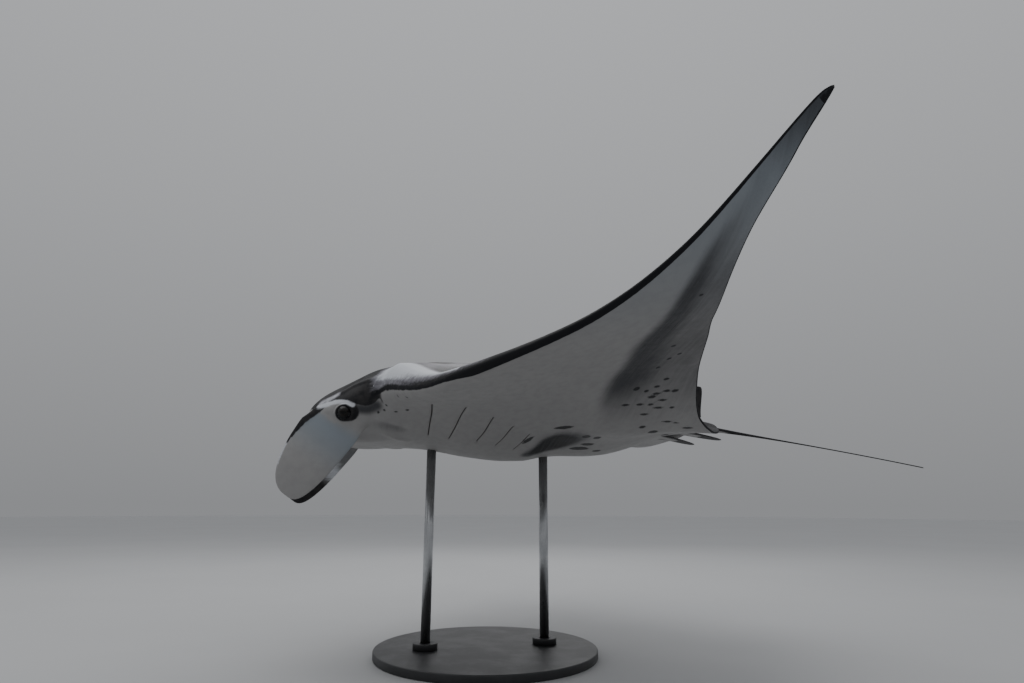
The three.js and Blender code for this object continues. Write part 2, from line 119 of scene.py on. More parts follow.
@dataclass(frozen=True)
class Curve:
    """A smooth line through knots that never overshoots them."""

    knots: tuple[Pair, ...]

    def __call__(self, at: Array) -> Array:
        """Reads the line.

        Args:
            at: places along the line.

        Returns:
            Its value at each place, held level beyond the ends.
        """
        x, y = np.array(self.knots).T
        width = np.diff(x)
        rise = np.diff(y) / width
        product = rise[:-1] * rise[1:]
        total = np.where(product > 0, rise[:-1] + rise[1:], 1)
        inner = np.where(product > 0, 2 * product / total, 0)
        slope = np.concatenate((rise[:1], inner, rise[-1:]))
        clamped = np.clip(at, x[0], x[-1])
        i = np.clip(np.searchsorted(x, clamped, side="left") - 1, 0, len(width) - 1)
        t = (clamped - x[i]) / width[i]
        near = (1 + 2 * t) * (1 - t) ** 2 * y[i] + t * (1 - t) ** 2 * width[i] * slope[i]
        far = t * t * (3 - 2 * t) * y[i + 1] + t * t * (t - 1) * width[i] * slope[i + 1]
        return near + far


def distance_to(line: Array, places: Array, reach: Array | float = 1.0) -> Array:
    """Measures how far places are from a line of straight pieces.

    Args:
        line: the line's points, one row each.
        places: the places, one row each.
        reach: what the distance is counted in, one number or one for each piece.

    Returns:
        The distance of each place from the nearest piece.
    """
    start = line[:-1]
    run = line[1:] - start
    length = np.maximum((run * run).sum(axis=1), TINY)
    square = np.square(np.broadcast_to(reach, len(start)))
    nearest = np.empty(len(places))
    for first in range(0, len(places), AT_ONCE):
        some = places[first : first + AT_ONCE, None, :] - start[None]
        along = np.clip((some * run[None]).sum(axis=2) / length, 0, 1)
        gap = some - along[..., None] * run[None]
        nearest[first : first + AT_ONCE] = np.sqrt(((gap * gap).sum(axis=2) / square).min(axis=1))
    return nearest


def drawn(knots: Sequence[Sequence[float]], step: float) -> Array:
    """Draws a smooth line through knots.

    Args:
        knots: the knots, each of two or three numbers.
        step: how far apart the drawn points are.

    Returns:
        One row for each point.
    """
    rows = np.array(knots, dtype=float)
    measure = np.concatenate(([0], np.cumsum(np.linalg.norm(np.diff(rows, axis=0), axis=1))))
    at = np.linspace(0, measure[-1], max(3, int(measure[-1] / step)))
    return np.stack([Curve(tuple(zip(measure, column)))(at) for column in rows.T], axis=1)


class Face(Enum):
    """The two faces of the flat ray."""

    TOP = 1
    BELOW = -1


# ---------------------------------------------------------------- the flat ray
@dataclass(frozen=True)
class BodyPlan:
    """Sizes of the body and its pectoral fins, and the sums that turn them into a surface."""

    half_span: float = 1.75
    fin_level: float = 0.9
    jaw_to_stand: float = 0.7
    head_half_width: float = 0.35
    head_length: float = 0.24
    head_squareness: float = 6.0
    notch_rounding: float = 0.045
    head_level: float = -0.038
    head_rounding: float = 0.105
    chin_setback: float = 0.075
    head_twist_free: float = 0.11
    front: Curve = Curve(
        ((0.35, 0.24), (0.7, 0.402), (1.12, 0.733), (1.35, 0.886), (1.56, 1.01), (1.7, 1.108),
         (1.735, 1.14), (1.75, 1.162))
    )
    rear: Curve = Curve(
        ((0, 1.685), (0.12, 1.664), (0.2, 1.628), (0.28, 1.578), (0.35, 1.51), (0.4, 1.45), (0.45, 1.399),
         (0.52, 1.356), (0.7, 1.285), (0.9, 1.206), (1.05, 1.142), (1.4, 1.06), (1.6, 1.102), (1.75, 1.17))
    )
    back_line: Curve = Curve(
        ((0, 0.024), (0.09, 0.059), (0.175, 0.107), (0.28, 0.155), (0.49, 0.205), (0.7, 0.208),
         (0.945, 0.192), (1.19, 0.126), (1.47, 0.038), (1.68, 0.0))
    )
    belly_line: Curve = Curve(
        ((0, -0.088), (0.175, -0.124), (0.42, -0.133), (0.63, -0.164), (0.76, -0.175), (0.84, -0.173),
         (0.92, -0.158), (1.01, -0.15), (1.11, -0.149), (1.18, -0.143), (1.26, -0.126), (1.47, -0.055),
         (1.57, -0.025), (1.68, -0.008))
    )
    back_spread: float = 0.408
    belly_spread: float = 0.313
    throat_spread: float = 0.455
    fin_depth_top: float = 0.038
    fin_depth_below: float = 0.04
    edge_depth: float = 0.0025
    slope: Curve = Curve(
        ((0, 0), (0.105, -2), (0.35, 4), (0.7, 10), (1.05, 16), (1.4, 41), (1.75, 73))
    )
    twist: Curve = Curve(((0, 0), (0.175, 0), (0.35, 5), (0.7, -7), (1.225, -10.5), (1.75, 0)))
    spine_step: float = 0.007
    twist_pivot: float = 0.65
    twist_free_width: float = 1.2
    head_ends: Pair = (0.8, 1.15)
    level_ends: Pair = (0.2, 0.42)
    throat_ends: Pair = (0.175, 0.455)
    throat_squareness: int = 4
    chin_ends: Pair = (0.2, 0.3)
    fin_taper: float = 1.3
    fin_section: Pair = (1.1, 1.6)
    tip_round: float = 0.008
    root_round: float = 0.042
    rear_round: float = 0.003
    tail_round: float = 0.026
    tail_width: float = 0.3
    corner_sag: float = 0.038
    corner_middle: float = 0.19
    corner_spread: float = 0.085
    corner_ends: Pair = (1.32, 1.56)

    def front_edge(self, out: Array) -> Array:
        """Draws the front outline, head and fin together.

        Args:
            out: distances from the midline, never negative.

        Returns:
            How far back the outline is.
        """
        (root_out, root_back), (next_out, next_back) = self.front.knots[:2]
        root_slope = (next_back - root_back) / (next_out - root_out)
        fin = np.where(out < root_out, root_back + root_slope * (out - root_out), self.front(out))
        head = self.head_length * (out / self.head_half_width) ** self.head_squareness
        blend = np.clip(0.5 + (fin - head) / (2 * self.notch_rounding), 0, 1)
        return mix(fin, head, blend) - self.notch_rounding * blend * (1 - blend)

    def head_share(self, out: Array) -> Array:
        """Returns 1 over the head's width and 0 out on the fin."""
        inner, outer = self.head_ends
        return 1 - ramp(out, inner * self.head_half_width, outer * self.head_half_width)

    def taper(self, out: Array) -> Array:
        """Returns how thick the fin still is, from 1 at the midline to 0 at its tip."""
        return np.clip(1 - out / self.half_span, 0, 1) ** self.fin_taper

    def front_rounding(self, out: Array) -> Array:
        """Returns how deep the round of the front edge is."""
        fin = self.tip_round + self.root_round * self.taper(out)
        return mix(fin, self.head_rounding, self.head_share(out))

    def rear_rounding(self, out: Array) -> Array:
        """Returns how deep the round of the rear edge is."""
        return np.maximum(self.rear_round, self.tail_round * (1 - out / self.tail_width))

    def heights(self, out: Array, back: Array, front_gap: Array, rear_gap: Array,
                face: Face) -> Array:
        """Works out the height of one face of the flat ray.

        Args:
            out: distances from the midline, never negative.
            back: distances behind the upper jaw.
            front_gap: distances from the front outline.
            rear_gap: distances from the rear outline.
            face: which face.

        Returns:
            The height at each place.
        """
        front = self.front_edge(out)
        rear = self.rear(out)
        share = np.clip((back - front) / np.maximum(rear - front, 0.001), 0, 1)
        thinning, fullness = self.fin_section
        fin = self.taper(out) * (1 - share) ** thinning * (1 + fullness * share)
        along_body = back * (self.rear.knots[0][1] / rear)
        head = self.head_share(out)
        level = self.head_level * head * (1 - ramp(back, *self.level_ends))
        rear_round = quarter_round(rear_gap, self.rear_rounding(out))
        if face is Face.TOP:
            spread = bell(out, 0, self.back_spread)
            whole = self.back_line(along_body) * spread + self.fin_depth_top * fin * (1 - spread)
            whole = whole + self.edge_depth
            front_round = quarter_round(front_gap, self.front_rounding(out))
        else:
            throat = (1 - ramp(back, *self.throat_ends)) * head
            flat_throat = np.exp(-((out / self.throat_spread) ** self.throat_squareness))
            spread = mix(bell(out, 0, self.belly_spread), flat_throat, throat)
            whole = self.belly_line(along_body) * spread - self.fin_depth_below * fin * (1 - spread)
            whole = whole - self.edge_depth
            chin = self.chin_setback * head * (1 - ramp(out, *self.chin_ends))
            front_round = quarter_round(front_gap - chin, self.front_rounding(out))
        return level + (whole - level) * front_round * rear_round

    def sag(self, reach: Array, back: Array) -> Array:
        """Returns how far the rear corners of the fins hang beside the tail's root."""
        corner = bell(reach, self.corner_middle, self.corner_spread)
        return self.corner_sag * corner * ramp(back, *self.corner_ends)

    def fold(self, out: Array, back: Array, height: Array) -> Array:
        """Moves places on the flat ray to where they are on the posed one, over the stand.

        Args:
            out: distances from the midline, positive to the left.
            back: distances behind the upper jaw.
            height: heights over the fin's middle sheet.

        Returns:
            One row of x, y and z for each place.
        """
        middles = np.arange(self.spine_step / 2, self.half_span, self.spine_step)
        lean = np.radians(self.slope(middles))
        spine_x = np.concatenate(([0], np.cumsum(self.spine_step * np.cos(lean))))
        spine_z = np.concatenate(([0], np.cumsum(self.spine_step * np.sin(lean))))
        reach = np.minimum(np.abs(out), self.half_span)
        stations = np.arange(len(spine_x)) * self.spine_step
        x = np.interp(reach, stations, spine_x)
        z = np.interp(reach, stations, spine_z)
        slope = np.radians(self.slope(reach))
        free = np.where(reach < self.twist_free_width * self.head_half_width,
                        ramp(back, self.head_twist_free, self.head_length), 1)
        twist = np.radians(self.twist(reach)) * free
        front = self.front_edge(np.maximum(reach, self.head_half_width))
        pivot = self.twist_pivot * front + (1 - self.twist_pivot) * self.rear(reach)
        along = back - pivot
        px = x + along * np.sin(twist) * np.sin(slope) - height * np.sin(slope) * np.cos(twist)
        py = pivot + along * np.cos(twist) + height * np.sin(twist)
        pz = z - along * np.sin(twist) * np.cos(slope) + height * np.cos(slope) * np.cos(twist)
        pz = pz - self.sag(reach, back)
        return np.stack((np.where(out < 0, -px, px), py - self.jaw_to_stand, pz + self.fin_level), axis=1)


# ---------------------------------------------------------------- features drawn on the flat ray
@dataclass(frozen=True)
class Groove:
    """A groove or a ridge that follows a line on one face of the flat ray."""

    name: str
    face: Face
    line: tuple[Pair, ...]
    width: float
    depth: float
    step: float = 0.004
    shares: tuple[float, ...] = (0, 0.35, 0.75, 1.3, 2.1)

    def points(self) -> Array:
        """Returns the line's points, one row of out and back each, close together."""
        return drawn(self.line, self.step)

    def rows(self) -> Array:
        """Lays mesh points beside the line, so that its walls come out crisp.

        Returns:
            One row of out and back for each point.
        """
        middle = self.points()
        side = square_to(middle)
        rows = [middle + side * share * self.width * sign for share in self.shares for sign in (-1, 1)]
        return np.concatenate(rows[1:])

    def share(self, places: Array) -> Array:
        """Returns how deep in the groove flat places are, 1 on its line."""
        return bell(distance_to(self.points(), places), 0, self.width)


@dataclass(frozen=True)
class Spot:
    """A round or oval spot on the underside."""

    out: float
    back: float
    half_out: float
    half_back: float
    tilt: float = 0.0
    around: ClassVar[int] = 10
    shares: ClassVar[tuple[float, ...]] = (0.45, 0.85, 1.2)
    shift: ClassVar[float] = 0.012
    sizes: ClassVar[Pair] = (0.75, 1.2)
    swing: ClassVar[float] = 0.15

    def ring(self, share: float) -> Array:
        """Lays points round the spot.

        Args:
            share: the ring's size as a share of the spot's.

        Returns:
            One row of out and back for each point.
        """
        turn = turns(self.around)
        long, wide = share * self.half_out * np.cos(turn), share * self.half_back * np.sin(turn)
        slant, level = math.sin(self.tilt), math.cos(self.tilt)
        out, back = self.out + level * long - slant * wide, self.back + slant * long + level * wide
        return np.stack((out, back), axis=1)

    def rows(self) -> Array:
        """Returns mesh points in and round the spot, so that its edge comes out crisp."""
        return np.concatenate([self.ring(share) for share in self.shares])

    def inside(self, places: Array) -> Array:
        """Measures how far inside the spot flat places are.

        Args:
            places: one row of out and back for each place.

        Returns:
            The distance from the spot's edge, below 0 outside it.
        """
        right, down = places[:, 0] - self.out, places[:, 1] - self.back
        slant, level = math.sin(self.tilt), math.cos(self.tilt)
        gap = np.hypot((level * right + slant * down) / self.half_out,
                       (level * down - slant * right) / self.half_back)
        return (1 - gap) * min(self.half_out, self.half_back)

    def varied(self, chance: np.random.Generator) -> "Spot":
        """Draws a like spot for the other side of the ray.

        Args:
            chance: the source of random numbers.

        Returns:
            The spot, a little moved, resized and turned.
        """
        out, back = (self.out, self.back) + chance.normal(0, self.shift, 2)
        size = chance.uniform(*self.sizes)
        turn = self.tilt + chance.normal(0, self.swing)
        return Spot(out, back, self.half_out * size, self.half_back * size, turn)


# ---------------------------------------------------------------- the fine mesh of the body
@dataclass
class BodyMesh:
    """The fine surface of the body and the pectoral fins, made from bands along the edges and a fill."""

    plan: BodyPlan
    grooves: Sequence[Groove]
    spots: Sequence[Spot]
    head_rows: int = 28
    fin_rows: int = 7
    rear_rows: int = 4
    band_turn: float = math.radians(60)
    fine_points: int = 24001
    crowding: float = 1.2
    side_ends: Four = (0.2, 0.29, 0.36, 0.5)
    side_step: float = 0.0032
    fin_step: float = 0.006
    fin_coarsens: Pair = (0.4, 0.6)
    fin_refines: float = 1.3
    rear_step: float = 0.008
    rear_gain: float = 0.005
    rear_coarsens: Pair = (0.2, 0.5)
    rear_refines: float = 1.2
    head_width: float = 0.38
    front_chord: float = 0.7
    rear_chord: float = 0.25
    band_chord: float = 0.35
    middle_step: float = 0.009
    finest: float = 0.0047
    coarser: Three = (1.0, 2.0, 3.2)
    head_zone: Pair = (0.42, 0.36)
    body_zone: Pair = (0.9, 1.5)
    middle_shift: float = 0.6
    front_room: float = 0.45
    room: float = 0.5
    spot_core: float = 0.2
    spot_room: float = 0.3
    merge: float = 1e-7
    flat: list[Array] = field(default_factory=list)
    places: list[Array] = field(default_factory=list)
    polygons: list[tuple[int, ...]] = field(default_factory=list)

    @staticmethod
    def spaced(points: Array, spacing: Array) -> Array:
        """Picks points along a finely drawn line.

        Args:
            points: the line, drawn finely.
            spacing: the step wanted at each of its points.

        Returns:
            The picked points, with both ends kept.
        """
        step = np.linalg.norm(np.diff(points, axis=0), axis=1)
        measure = np.concatenate(([0], np.cumsum(step / (0.5 * (spacing[1:] + spacing[:-1])))))
        wanted = np.linspace(0, measure[-1], max(2, round(measure[-1])) + 1)
        return np.stack([np.interp(wanted, measure, points[:, k]) for k in (0, 1)], axis=1)

    def chord(self, out: Array) -> Array:
        """Returns how long the ray is from its front to its rear outline."""
        return self.plan.rear(out) - self.plan.front_edge(out)

    def band(self, line: Array, depth: Array, sign: int, turn: Array) -> Array:
        """Lays rows of points from an outline into the body, closest together at the outline.

        Args:
            line: the outline's points.
            depth: how deep the edge's round is at each of them.
            sign: 1 along the front and -1 along the rear.
            turn: the angle of each row on the round.

        Returns:
            The points, by row and column.
        """
        depth[-1] = 0
        into = sign * square_to(line)
        into[0] = (0, sign)
        reach = (1 - np.cos(turn))[:, None] * depth[None]
        return line[None] + into[None] * reach[..., None]

    def outlines(self) -> None:
        """Lays the bands along the front and the rear outline."""
        plan = self.plan
        out = plan.half_span * np.linspace(0, 1, self.fine_points) ** self.crowding
        front = np.stack((out, plan.front_edge(out)), axis=1)
        side = ramp(out, *self.side_ends[:2]) * (1 - ramp(out, *self.side_ends[2:]))
        fin = self.fin_step + self.fin_step * ramp(out, *self.fin_coarsens)
        fin -= self.fin_step * ramp(out, self.fin_refines, plan.half_span)
        self.front_line = self.spaced(front, mix(fin, self.side_step, side))
        self.front_line[-1] = (plan.half_span, 0.5 * (front[-1, 1] + plan.rear(front[-1, 0])))
        rear = np.stack((out, plan.rear(out)), axis=1)
        step = self.rear_step + self.rear_gain * ramp(out, *self.rear_coarsens)
        step -= self.fin_step * ramp(out, self.rear_refines, plan.half_span)
        self.rear_line = self.spaced(rear, step)
        self.rear_line[-1] = self.front_line[-1]
        self.head_columns = int(np.searchsorted(self.front_line[:, 0], self.head_width))

        along = self.front_line[:, 0]
        depth = np.minimum(plan.front_rounding(along), self.front_chord * self.chord(along))
        turn = np.linspace(0, self.band_turn, self.head_rows + 1)
        self.front_band = self.band(self.front_line, depth, 1, turn)
        along = self.rear_line[:, 0]
        depth = np.minimum(plan.rear_rounding(along), self.rear_chord * self.chord(along))
        turn = np.linspace(0, math.pi / 2, self.rear_rows + 1)
        self.rear_band = self.band(self.rear_line, depth, -1, turn)

    def band_polygons(self) -> tuple[Array, list[tuple[int, ...]]]:
        """Joins the rows of both bands. Away from the head the front one uses fewer of its rows.

        Returns:
            The points of both bands and the faces between them.
        """
        rows, columns = self.front_band.shape[:2]
        points = self.front_band.reshape(-1, 2)
        polygons = []
        step = self.head_rows // self.fin_rows
        last = self.head_columns
        for c in range(last):
            for r in range(rows - 1):
                a = r * columns + c
                polygons.append((a, a + 1, a + 1 + columns, a + columns))
        for c in range(last, columns - 1):
            for r in range(0, rows - 1, step):
                low = r * columns + c
                high = (r + step) * columns + c
                between = [(r + k) * columns + c for k in range(step - 1, 0, -1)] if c == last else []
                polygons.append((low, low + 1, high + 1, high, *between))
        start = len(points)
        rows, columns = self.rear_band.shape[:2]
        for c in range(columns - 1):
            for r in range(rows - 1):
                a = start + r * columns + c
                polygons.append((a, a + columns, a + columns + 1, a + 1))
        return np.concatenate((points, self.rear_band.reshape(-1, 2))), polygons

    def wanted_step(self, out: Array, back: Array) -> Array:
        """Chooses how far apart the mesh points should be.

        Args:
            out: distances from the midline, never negative.
            back: distances behind the upper jaw.

        Returns:
            The step at each place: fine on the head, coarser on the body, coarsest on the fins.
        """
        head = (out < self.head_zone[0]) & (back < self.head_zone[1])
        body = (out < self.body_zone[0]) & (back < self.body_zone[1])
        fine, middling, coarse = self.coarser
        return self.finest * np.where(head, fine, np.where(body, middling, coarse))

    def fill_points(self, face: Face) -> Array:
        """Scatters the mesh points that fill one face between the bands.

        Args:
            face: which face.

        Returns:
            One row of out and back for each point.
        """
        plan = self.plan
        clouds = []
        for step in self.finest * np.array(self.coarser):
            across = np.arange(0.5 * step, plan.half_span, step)
            down = np.arange(0, plan.rear.knots[0][1], step * math.sqrt(0.75))
            out, back = np.meshgrid(across, down)
            odd = (np.arange(len(down)) % 2)[:, None]
            out = out + 0.5 * step * odd * np.where(out > step, 1, self.middle_shift)
            out, back = out.ravel(), back.ravel()
            keep = np.isclose(self.wanted_step(out, back), step)
            keep &= (back > plan.front_edge(out)) & (back < plan.rear(out))
            out, back = out[keep], back[keep]
            places = np.stack((out, back), axis=1)
            band = plan.front_rounding(out) * (1 - math.cos(self.band_turn))
            band = np.minimum(band, self.band_chord * self.chord(out))
            free = distance_to(self.front_line, places) > band + self.front_room * step
            free &= distance_to(self.rear_line, places) > plan.rear_rounding(out) + self.room * step
            for groove in self.grooves:
                if groove.face is face:
                    side = groove.shares[-1] * groove.width
                    free &= distance_to(groove.points(), places) > side + self.room * step
            if face is Face.BELOW:
                for spot in self.spots:
                    core = -self.spot_core * min(spot.half_out, spot.half_back)
                    free &= spot.inside(places) < core - self.spot_room * step
            clouds.append(places[free])
        clouds += [groove.rows() for groove in self.grooves if groove.face is face]
        if face is Face.BELOW:
            clouds += [spot.rows() for spot in self.spots]
        return np.concatenate(clouds)

    def fill(self, face: Face) -> tuple[Array, list[tuple[int, ...]]]:
        """Fills one face between the bands with triangles.

        Args:
            face: which face.

        Returns:
            The points, one row of out and back each, and the triangles.
        """
        inner_front = self.front_band[-1]
        inner_rear = self.rear_band[-1][::-1]
        step = self.middle_step
        middle_back = np.arange(inner_rear[-1, 1] - step, inner_front[0, 1] + step / 2, -step)
        middle = np.stack((np.zeros_like(middle_back), middle_back), axis=1)
        border = np.concatenate((inner_front, inner_rear[1:], middle))
        points = np.concatenate((border, self.fill_points(face)))
        ring = list(range(len(border)))
        result = delaunay_2d_cdt([Vector(p) for p in points], [], [ring], 1, self.merge)
        log.info("fill of %s: %d points, %d triangles", face.name, len(points), len(result[2]))
        return np.array([tuple(p) for p in result[0]]), [tuple(f) for f in result[2]]

    def surface(self, flat: Array, face: Face) -> Array:
        """Works out the height of one face, grooves included.

        Args:
            flat: the places, one row of out and back each.
            face: which face.

        Returns:
            The height at each place.
        """
        out, back = flat[:, 0], flat[:, 1]
        front_gap = distance_to(self.front_line, flat)
        rear_gap = distance_to(self.rear_line, flat)
        height = self.plan.heights(out, back, front_gap, rear_gap, face)
        for groove in self.grooves:
            if groove.face is face:
                height = height - face.value * groove.depth * groove.share(flat)
        return height

    def add(self, flat: Array, polygons: Sequence[tuple[int, ...]], face: Face) -> None:
        """Adds one face of both sides to the mesh.

        Args:
            flat: its points on the flat ray.
            polygons: its faces.
            face: which face.
        """
        height = self.surface(flat, face)
        for side in SIDES:
            start = sum(len(some) for some in self.places)
            self.places.append(self.plan.fold(side * flat[:, 0], flat[:, 1], height))
            faces = np.full(len(flat), face.value)
            self.flat.append(np.stack((side * flat[:, 0], flat[:, 1], faces), axis=1))
            turned = side * face.value > 0
            for polygon in polygons:
                ids = tuple(start + i for i in polygon)
                self.polygons.append(ids if turned else ids[::-1])

    def build(self) -> tuple[Array, list[tuple[int, ...]], Array]:
        """Makes the whole surface.

        Returns:
            The places, the faces, and the flat place of each point with its face as third number.
        """
        self.outlines()
        band, band_faces = self.band_polygons()
        for face in Face:
            self.add(band, band_faces, face)
            points, triangles = self.fill(face)
            self.add(points, triangles, face)
        return np.concatenate(self.places), self.polygons, np.concatenate(self.flat)


# ---------------------------------------------------------------- closed shapes from rings
def placed(name: str, data: bpy.types.ID) -> bpy.types.Object:
    """Puts new data into the scene.

    Args:
        name: the object's name.
        data: its mesh, light or camera.

    Returns:
        The object.
    """
    made = bpy.data.objects.new(name, data)
    bpy.context.scene.collection.objects.link(made)
    return made


@dataclass
class Surface:
    """A closed surface: its places, its faces, and a flat place for each point."""

    places: Array
    polygons: list[tuple[int, ...]]
    flat: Array
    merge: ClassVar[float] = 1e-5
    shortest: ClassVar[float] = 1e-6

    def to_object(self, name: str) -> bpy.types.Object:
        """Makes a Blender object of it.

        Args:
            name: the object's name.

        Returns:
            The object, in the scene, its faces turned outwards and shaded smooth.
        """
        mesh = bpy.data.meshes.new(name)
        mesh.from_pydata(self.places.tolist(), [], self.polygons)
        work = bmesh.new()
        work.from_mesh(mesh)
        bmesh.ops.remove_doubles(work, verts=work.verts, dist=self.merge)
        bmesh.ops.dissolve_degenerate(work, edges=work.edges, dist=self.shortest)
        bmesh.ops.triangulate(work, faces=[f for f in work.faces if len(f.verts) > 4])
        bmesh.ops.recalc_face_normals(work, faces=work.faces)
        work.to_mesh(mesh)
        work.free()
        mesh.shade_smooth()
        return placed(name, mesh)


def loft(rings: Sequence[Array], flats: Sequence[Array] | None = None) -> Surface:
    """Joins rings of points into one closed surface, with a fan over each end.

    Args:
        rings: the rings, each with the same number of points.
        flats: a flat place for each point, or nothing.

    Returns:
        The surface.
    """
    count = len(rings[0])
    ends = [rings[0].mean(axis=0)[None], rings[-1].mean(axis=0)[None]]
    places = np.concatenate([*rings, *ends])
    flats = flats or [np.zeros((count, 3)) for _ in rings]
    flat = np.concatenate([*flats, flats[0].mean(axis=0)[None], flats[-1].mean(axis=0)[None]])
    polygons = []
    for r in range(len(rings) - 1):
        for i in range(count):
            a, b = r * count + i, r * count + (i + 1) % count
            polygons.append((a, b, b + count, a + count))
    first, last = len(rings) * count, len(rings) * count + 1
    start = (len(rings) - 1) * count
    for i in range(count):
        follow = (i + 1) % count
        polygons.append((first, follow, i))
        polygons.append((last, start + i, start + follow))
    return Surface(places, polygons, flat)


def rounded(share: Array, squareness: float) -> Array:
    """Returns how wide a rounded end still is at a share of its length."""
    return (1 - np.clip(share, 0, 1) ** squareness) ** (1 / squareness)


@dataclass(frozen=True)
class Blade:
    """A thin fin with rounded edges, drawn in a sheet of its own."""

    plan: BodyPlan
    side: int
    length: float
    thickness: float
    steps: int
    around: int
    end: ClassVar[float] = 0.9996
    thinning: ClassVar[float] = 0.55
    tip_squareness: ClassVar[int] = 14
    fullness: ClassVar[float] = 0.8

    def sheet(self, along: float, across: Array) -> Array:
        """Returns the middle of the fin at places on its sheet."""
        raise NotImplementedError

    def halves(self, share: float) -> Pair:
        """Returns how far the fin reaches to its front and to its rear."""
        raise NotImplementedError

    def normal(self) -> Array:
        """Returns the way the fin's sheet faces."""
        raise NotImplementedError

    def posed(self, out: Array, back: Array, height: Array) -> Array:
        """Returns places given from the upper jaw and the fin's level, over the stand."""
        out, back, height = np.broadcast_arrays(out, back, height)
        return np.stack((out, back - self.plan.jaw_to_stand, height + self.plan.fin_level), axis=1)

    def build(self) -> Surface:
        """Makes the fin.

        Returns:
            Its closed surface. The flat places hold across, along and the face.
        """
        rings, flats = [], []
        for i in range(self.steps + 1):
            share = math.sin(math.pi / 2 * i / self.steps) * self.end
            front, rear = self.halves(share)
            depth = self.thickness / 2 * (1 - self.thinning * share)
            depth *= math.sqrt(1 - share**self.tip_squareness)
            turn = turns(self.around)
            across = -np.cos(turn) * np.where(np.cos(turn) > 0, front, rear)
            rise = depth * np.sign(np.sin(turn)) * np.abs(np.sin(turn)) ** self.fullness
            rings.append(self.sheet(self.length * share, across) + rise[:, None] * self.normal()[None])
            flats.append(np.stack((across, np.full_like(across, self.length * share), np.sign(rise)), axis=1))
        return loft(rings, flats)


@dataclass(frozen=True)
class HeadLobe(Blade):
    """The lobe beside the mouth, which hangs down and forward with its broad face out."""

    length: float = 0.351
    thickness: float = 0.024
    steps: int = 56
    around: int = 84
    front_width: float = 0.131
    rear_width: float = 0.073
    root: float = 0.034
    root_place: Three = (0.286, 0.14, -0.063)
    lean: float = 0.575
    neck: float = 0.82
    settled: float = 0.38
    bow: float = 0.014
    curl: float = 0.015
    flare: float = -0.022
    toe: float = 0.17
    toe_fade: float = 0.4
    tuck: float = 0.03
    front_squareness: float = 2.5
    rear_squareness: float = 3.2
    let_out: ClassVar[dict[str, float]] = {"length": 0.374, "lean": 0.6}

    @classmethod
    def hung(cls, plan: BodyPlan, side: int) -> "HeadLobe":
        """Returns the lobe of one side. The right one is let out a little further."""
        return cls(plan=plan, side=side, **(cls.let_out if side < 0 else {}))

    def sheet(self, along: float, across: Array) -> Array:
        """Places the middle of the lobe.

        Args:
            along: how far down the lobe.
            across: how far to its rear, or below 0 to its front.

        Returns:
            One row of x, y and z for each place.
        """
        upright = math.sqrt(1 - self.lean**2)
        free = along - self.root
        share = free / (self.length - self.root)
        back = self.root_place[1] - self.lean * free + upright * across
        height = self.root_place[2] - upright * free - self.lean * across
        bow = self.bow * math.sin(math.pi * max(share, 0)) - self.curl * (across / self.front_width) ** 2
        toe = self.toe * across * (1 - self.toe_fade * share)
        tuck = self.tuck * max(1 - along / self.root, 0) ** 2
        out = self.root_place[0] + self.flare * min(max(share / self.settled, 0), 1) + bow + toe - tuck
        return self.posed(self.side * out, back, height)

    def front_reach(self, share: Array) -> Array:
        """Returns how far the lobe reaches to its front at a share of its length."""
        neck = mix(self.neck, 1, ramp(share, 0, self.settled))
        return self.front_width * neck * rounded(share, self.front_squareness)

    def halves(self, share: float) -> Pair:
        """Returns how far the lobe reaches to its front and to its rear."""
        return float(self.front_reach(share)), self.rear_width * rounded(share, self.rear_squareness)

    def normal(self) -> Array:
        """Returns the way the lobe's broad face looks."""
        return np.array((self.side, 0.0, 0.0))


@dataclass(frozen=True)
class PelvicFin(Blade):
    """A small fin beside the tail's root."""

    length: float = 0.215
    thickness: float = 0.012
    steps: int = 30
    around: int = 36
    half_width: float = 0.048
    root_place: Three = (0.088, 1.47, -0.042)
    splay: float = 0.12
    droop: float = 0.18
    squareness: float = 2.4

    def sheet(self, along: float, across: Array) -> Array:
        """Places the middle of the fin.

        Args:
            along: how far out from the body.
            across: how far across the fin, for each point.

        Returns:
            One row of x, y and z for each point.
        """
        out, back, height = self.root_place
        out = out - across + self.splay * along
        return self.posed(self.side * out, back + along, height - self.droop * along)

    def halves(self, share: float) -> Pair:
        """Returns how far the fin reaches to each side."""
        half = self.half_width * rounded(share, self.squareness)
        return half, half

    def normal(self) -> Array:
        """Returns the way the fin's sheet faces."""
        return np.array((0.0, 0.0, 1.0))


@dataclass(frozen=True)
class DorsalFin(Blade):
    """The small upright fin in front of the tail."""

    length: float = 0.161
    thickness: float = 0.018
    steps: int = 22
    around: int = 40
    side: int = 1
    base: float = 0.185
    tip: float = 0.045
    rake: float = 0.165
    rake_curve: float = 1.2
    squareness: float = 5
    back: float = 1.485
    root: float = 0.025

    def sheet(self, along: float, across: Array) -> Array:
        """Places the middle of the fin.

        Args:
            along: how far out from the body.
            across: how far across the fin, for each point.

        Returns:
            One row of x, y and z for each point.
        """
        rake = self.rake * (along / self.length) ** self.rake_curve
        foot = float(self.plan.back_line(np.array(self.back))) - self.root
        return self.posed(np.zeros_like(across), self.back + across + rake, foot + along)

    def halves(self, share: float) -> Pair:
        """Returns how far the fin reaches to its rear."""
        return 0.0, float(mix(self.base, self.tip, share) * rounded(share, self.squareness))

    def normal(self) -> Array:
        """Returns the way the fin's sheet faces."""
        return np.array((1.0, 0.0, 0.0))


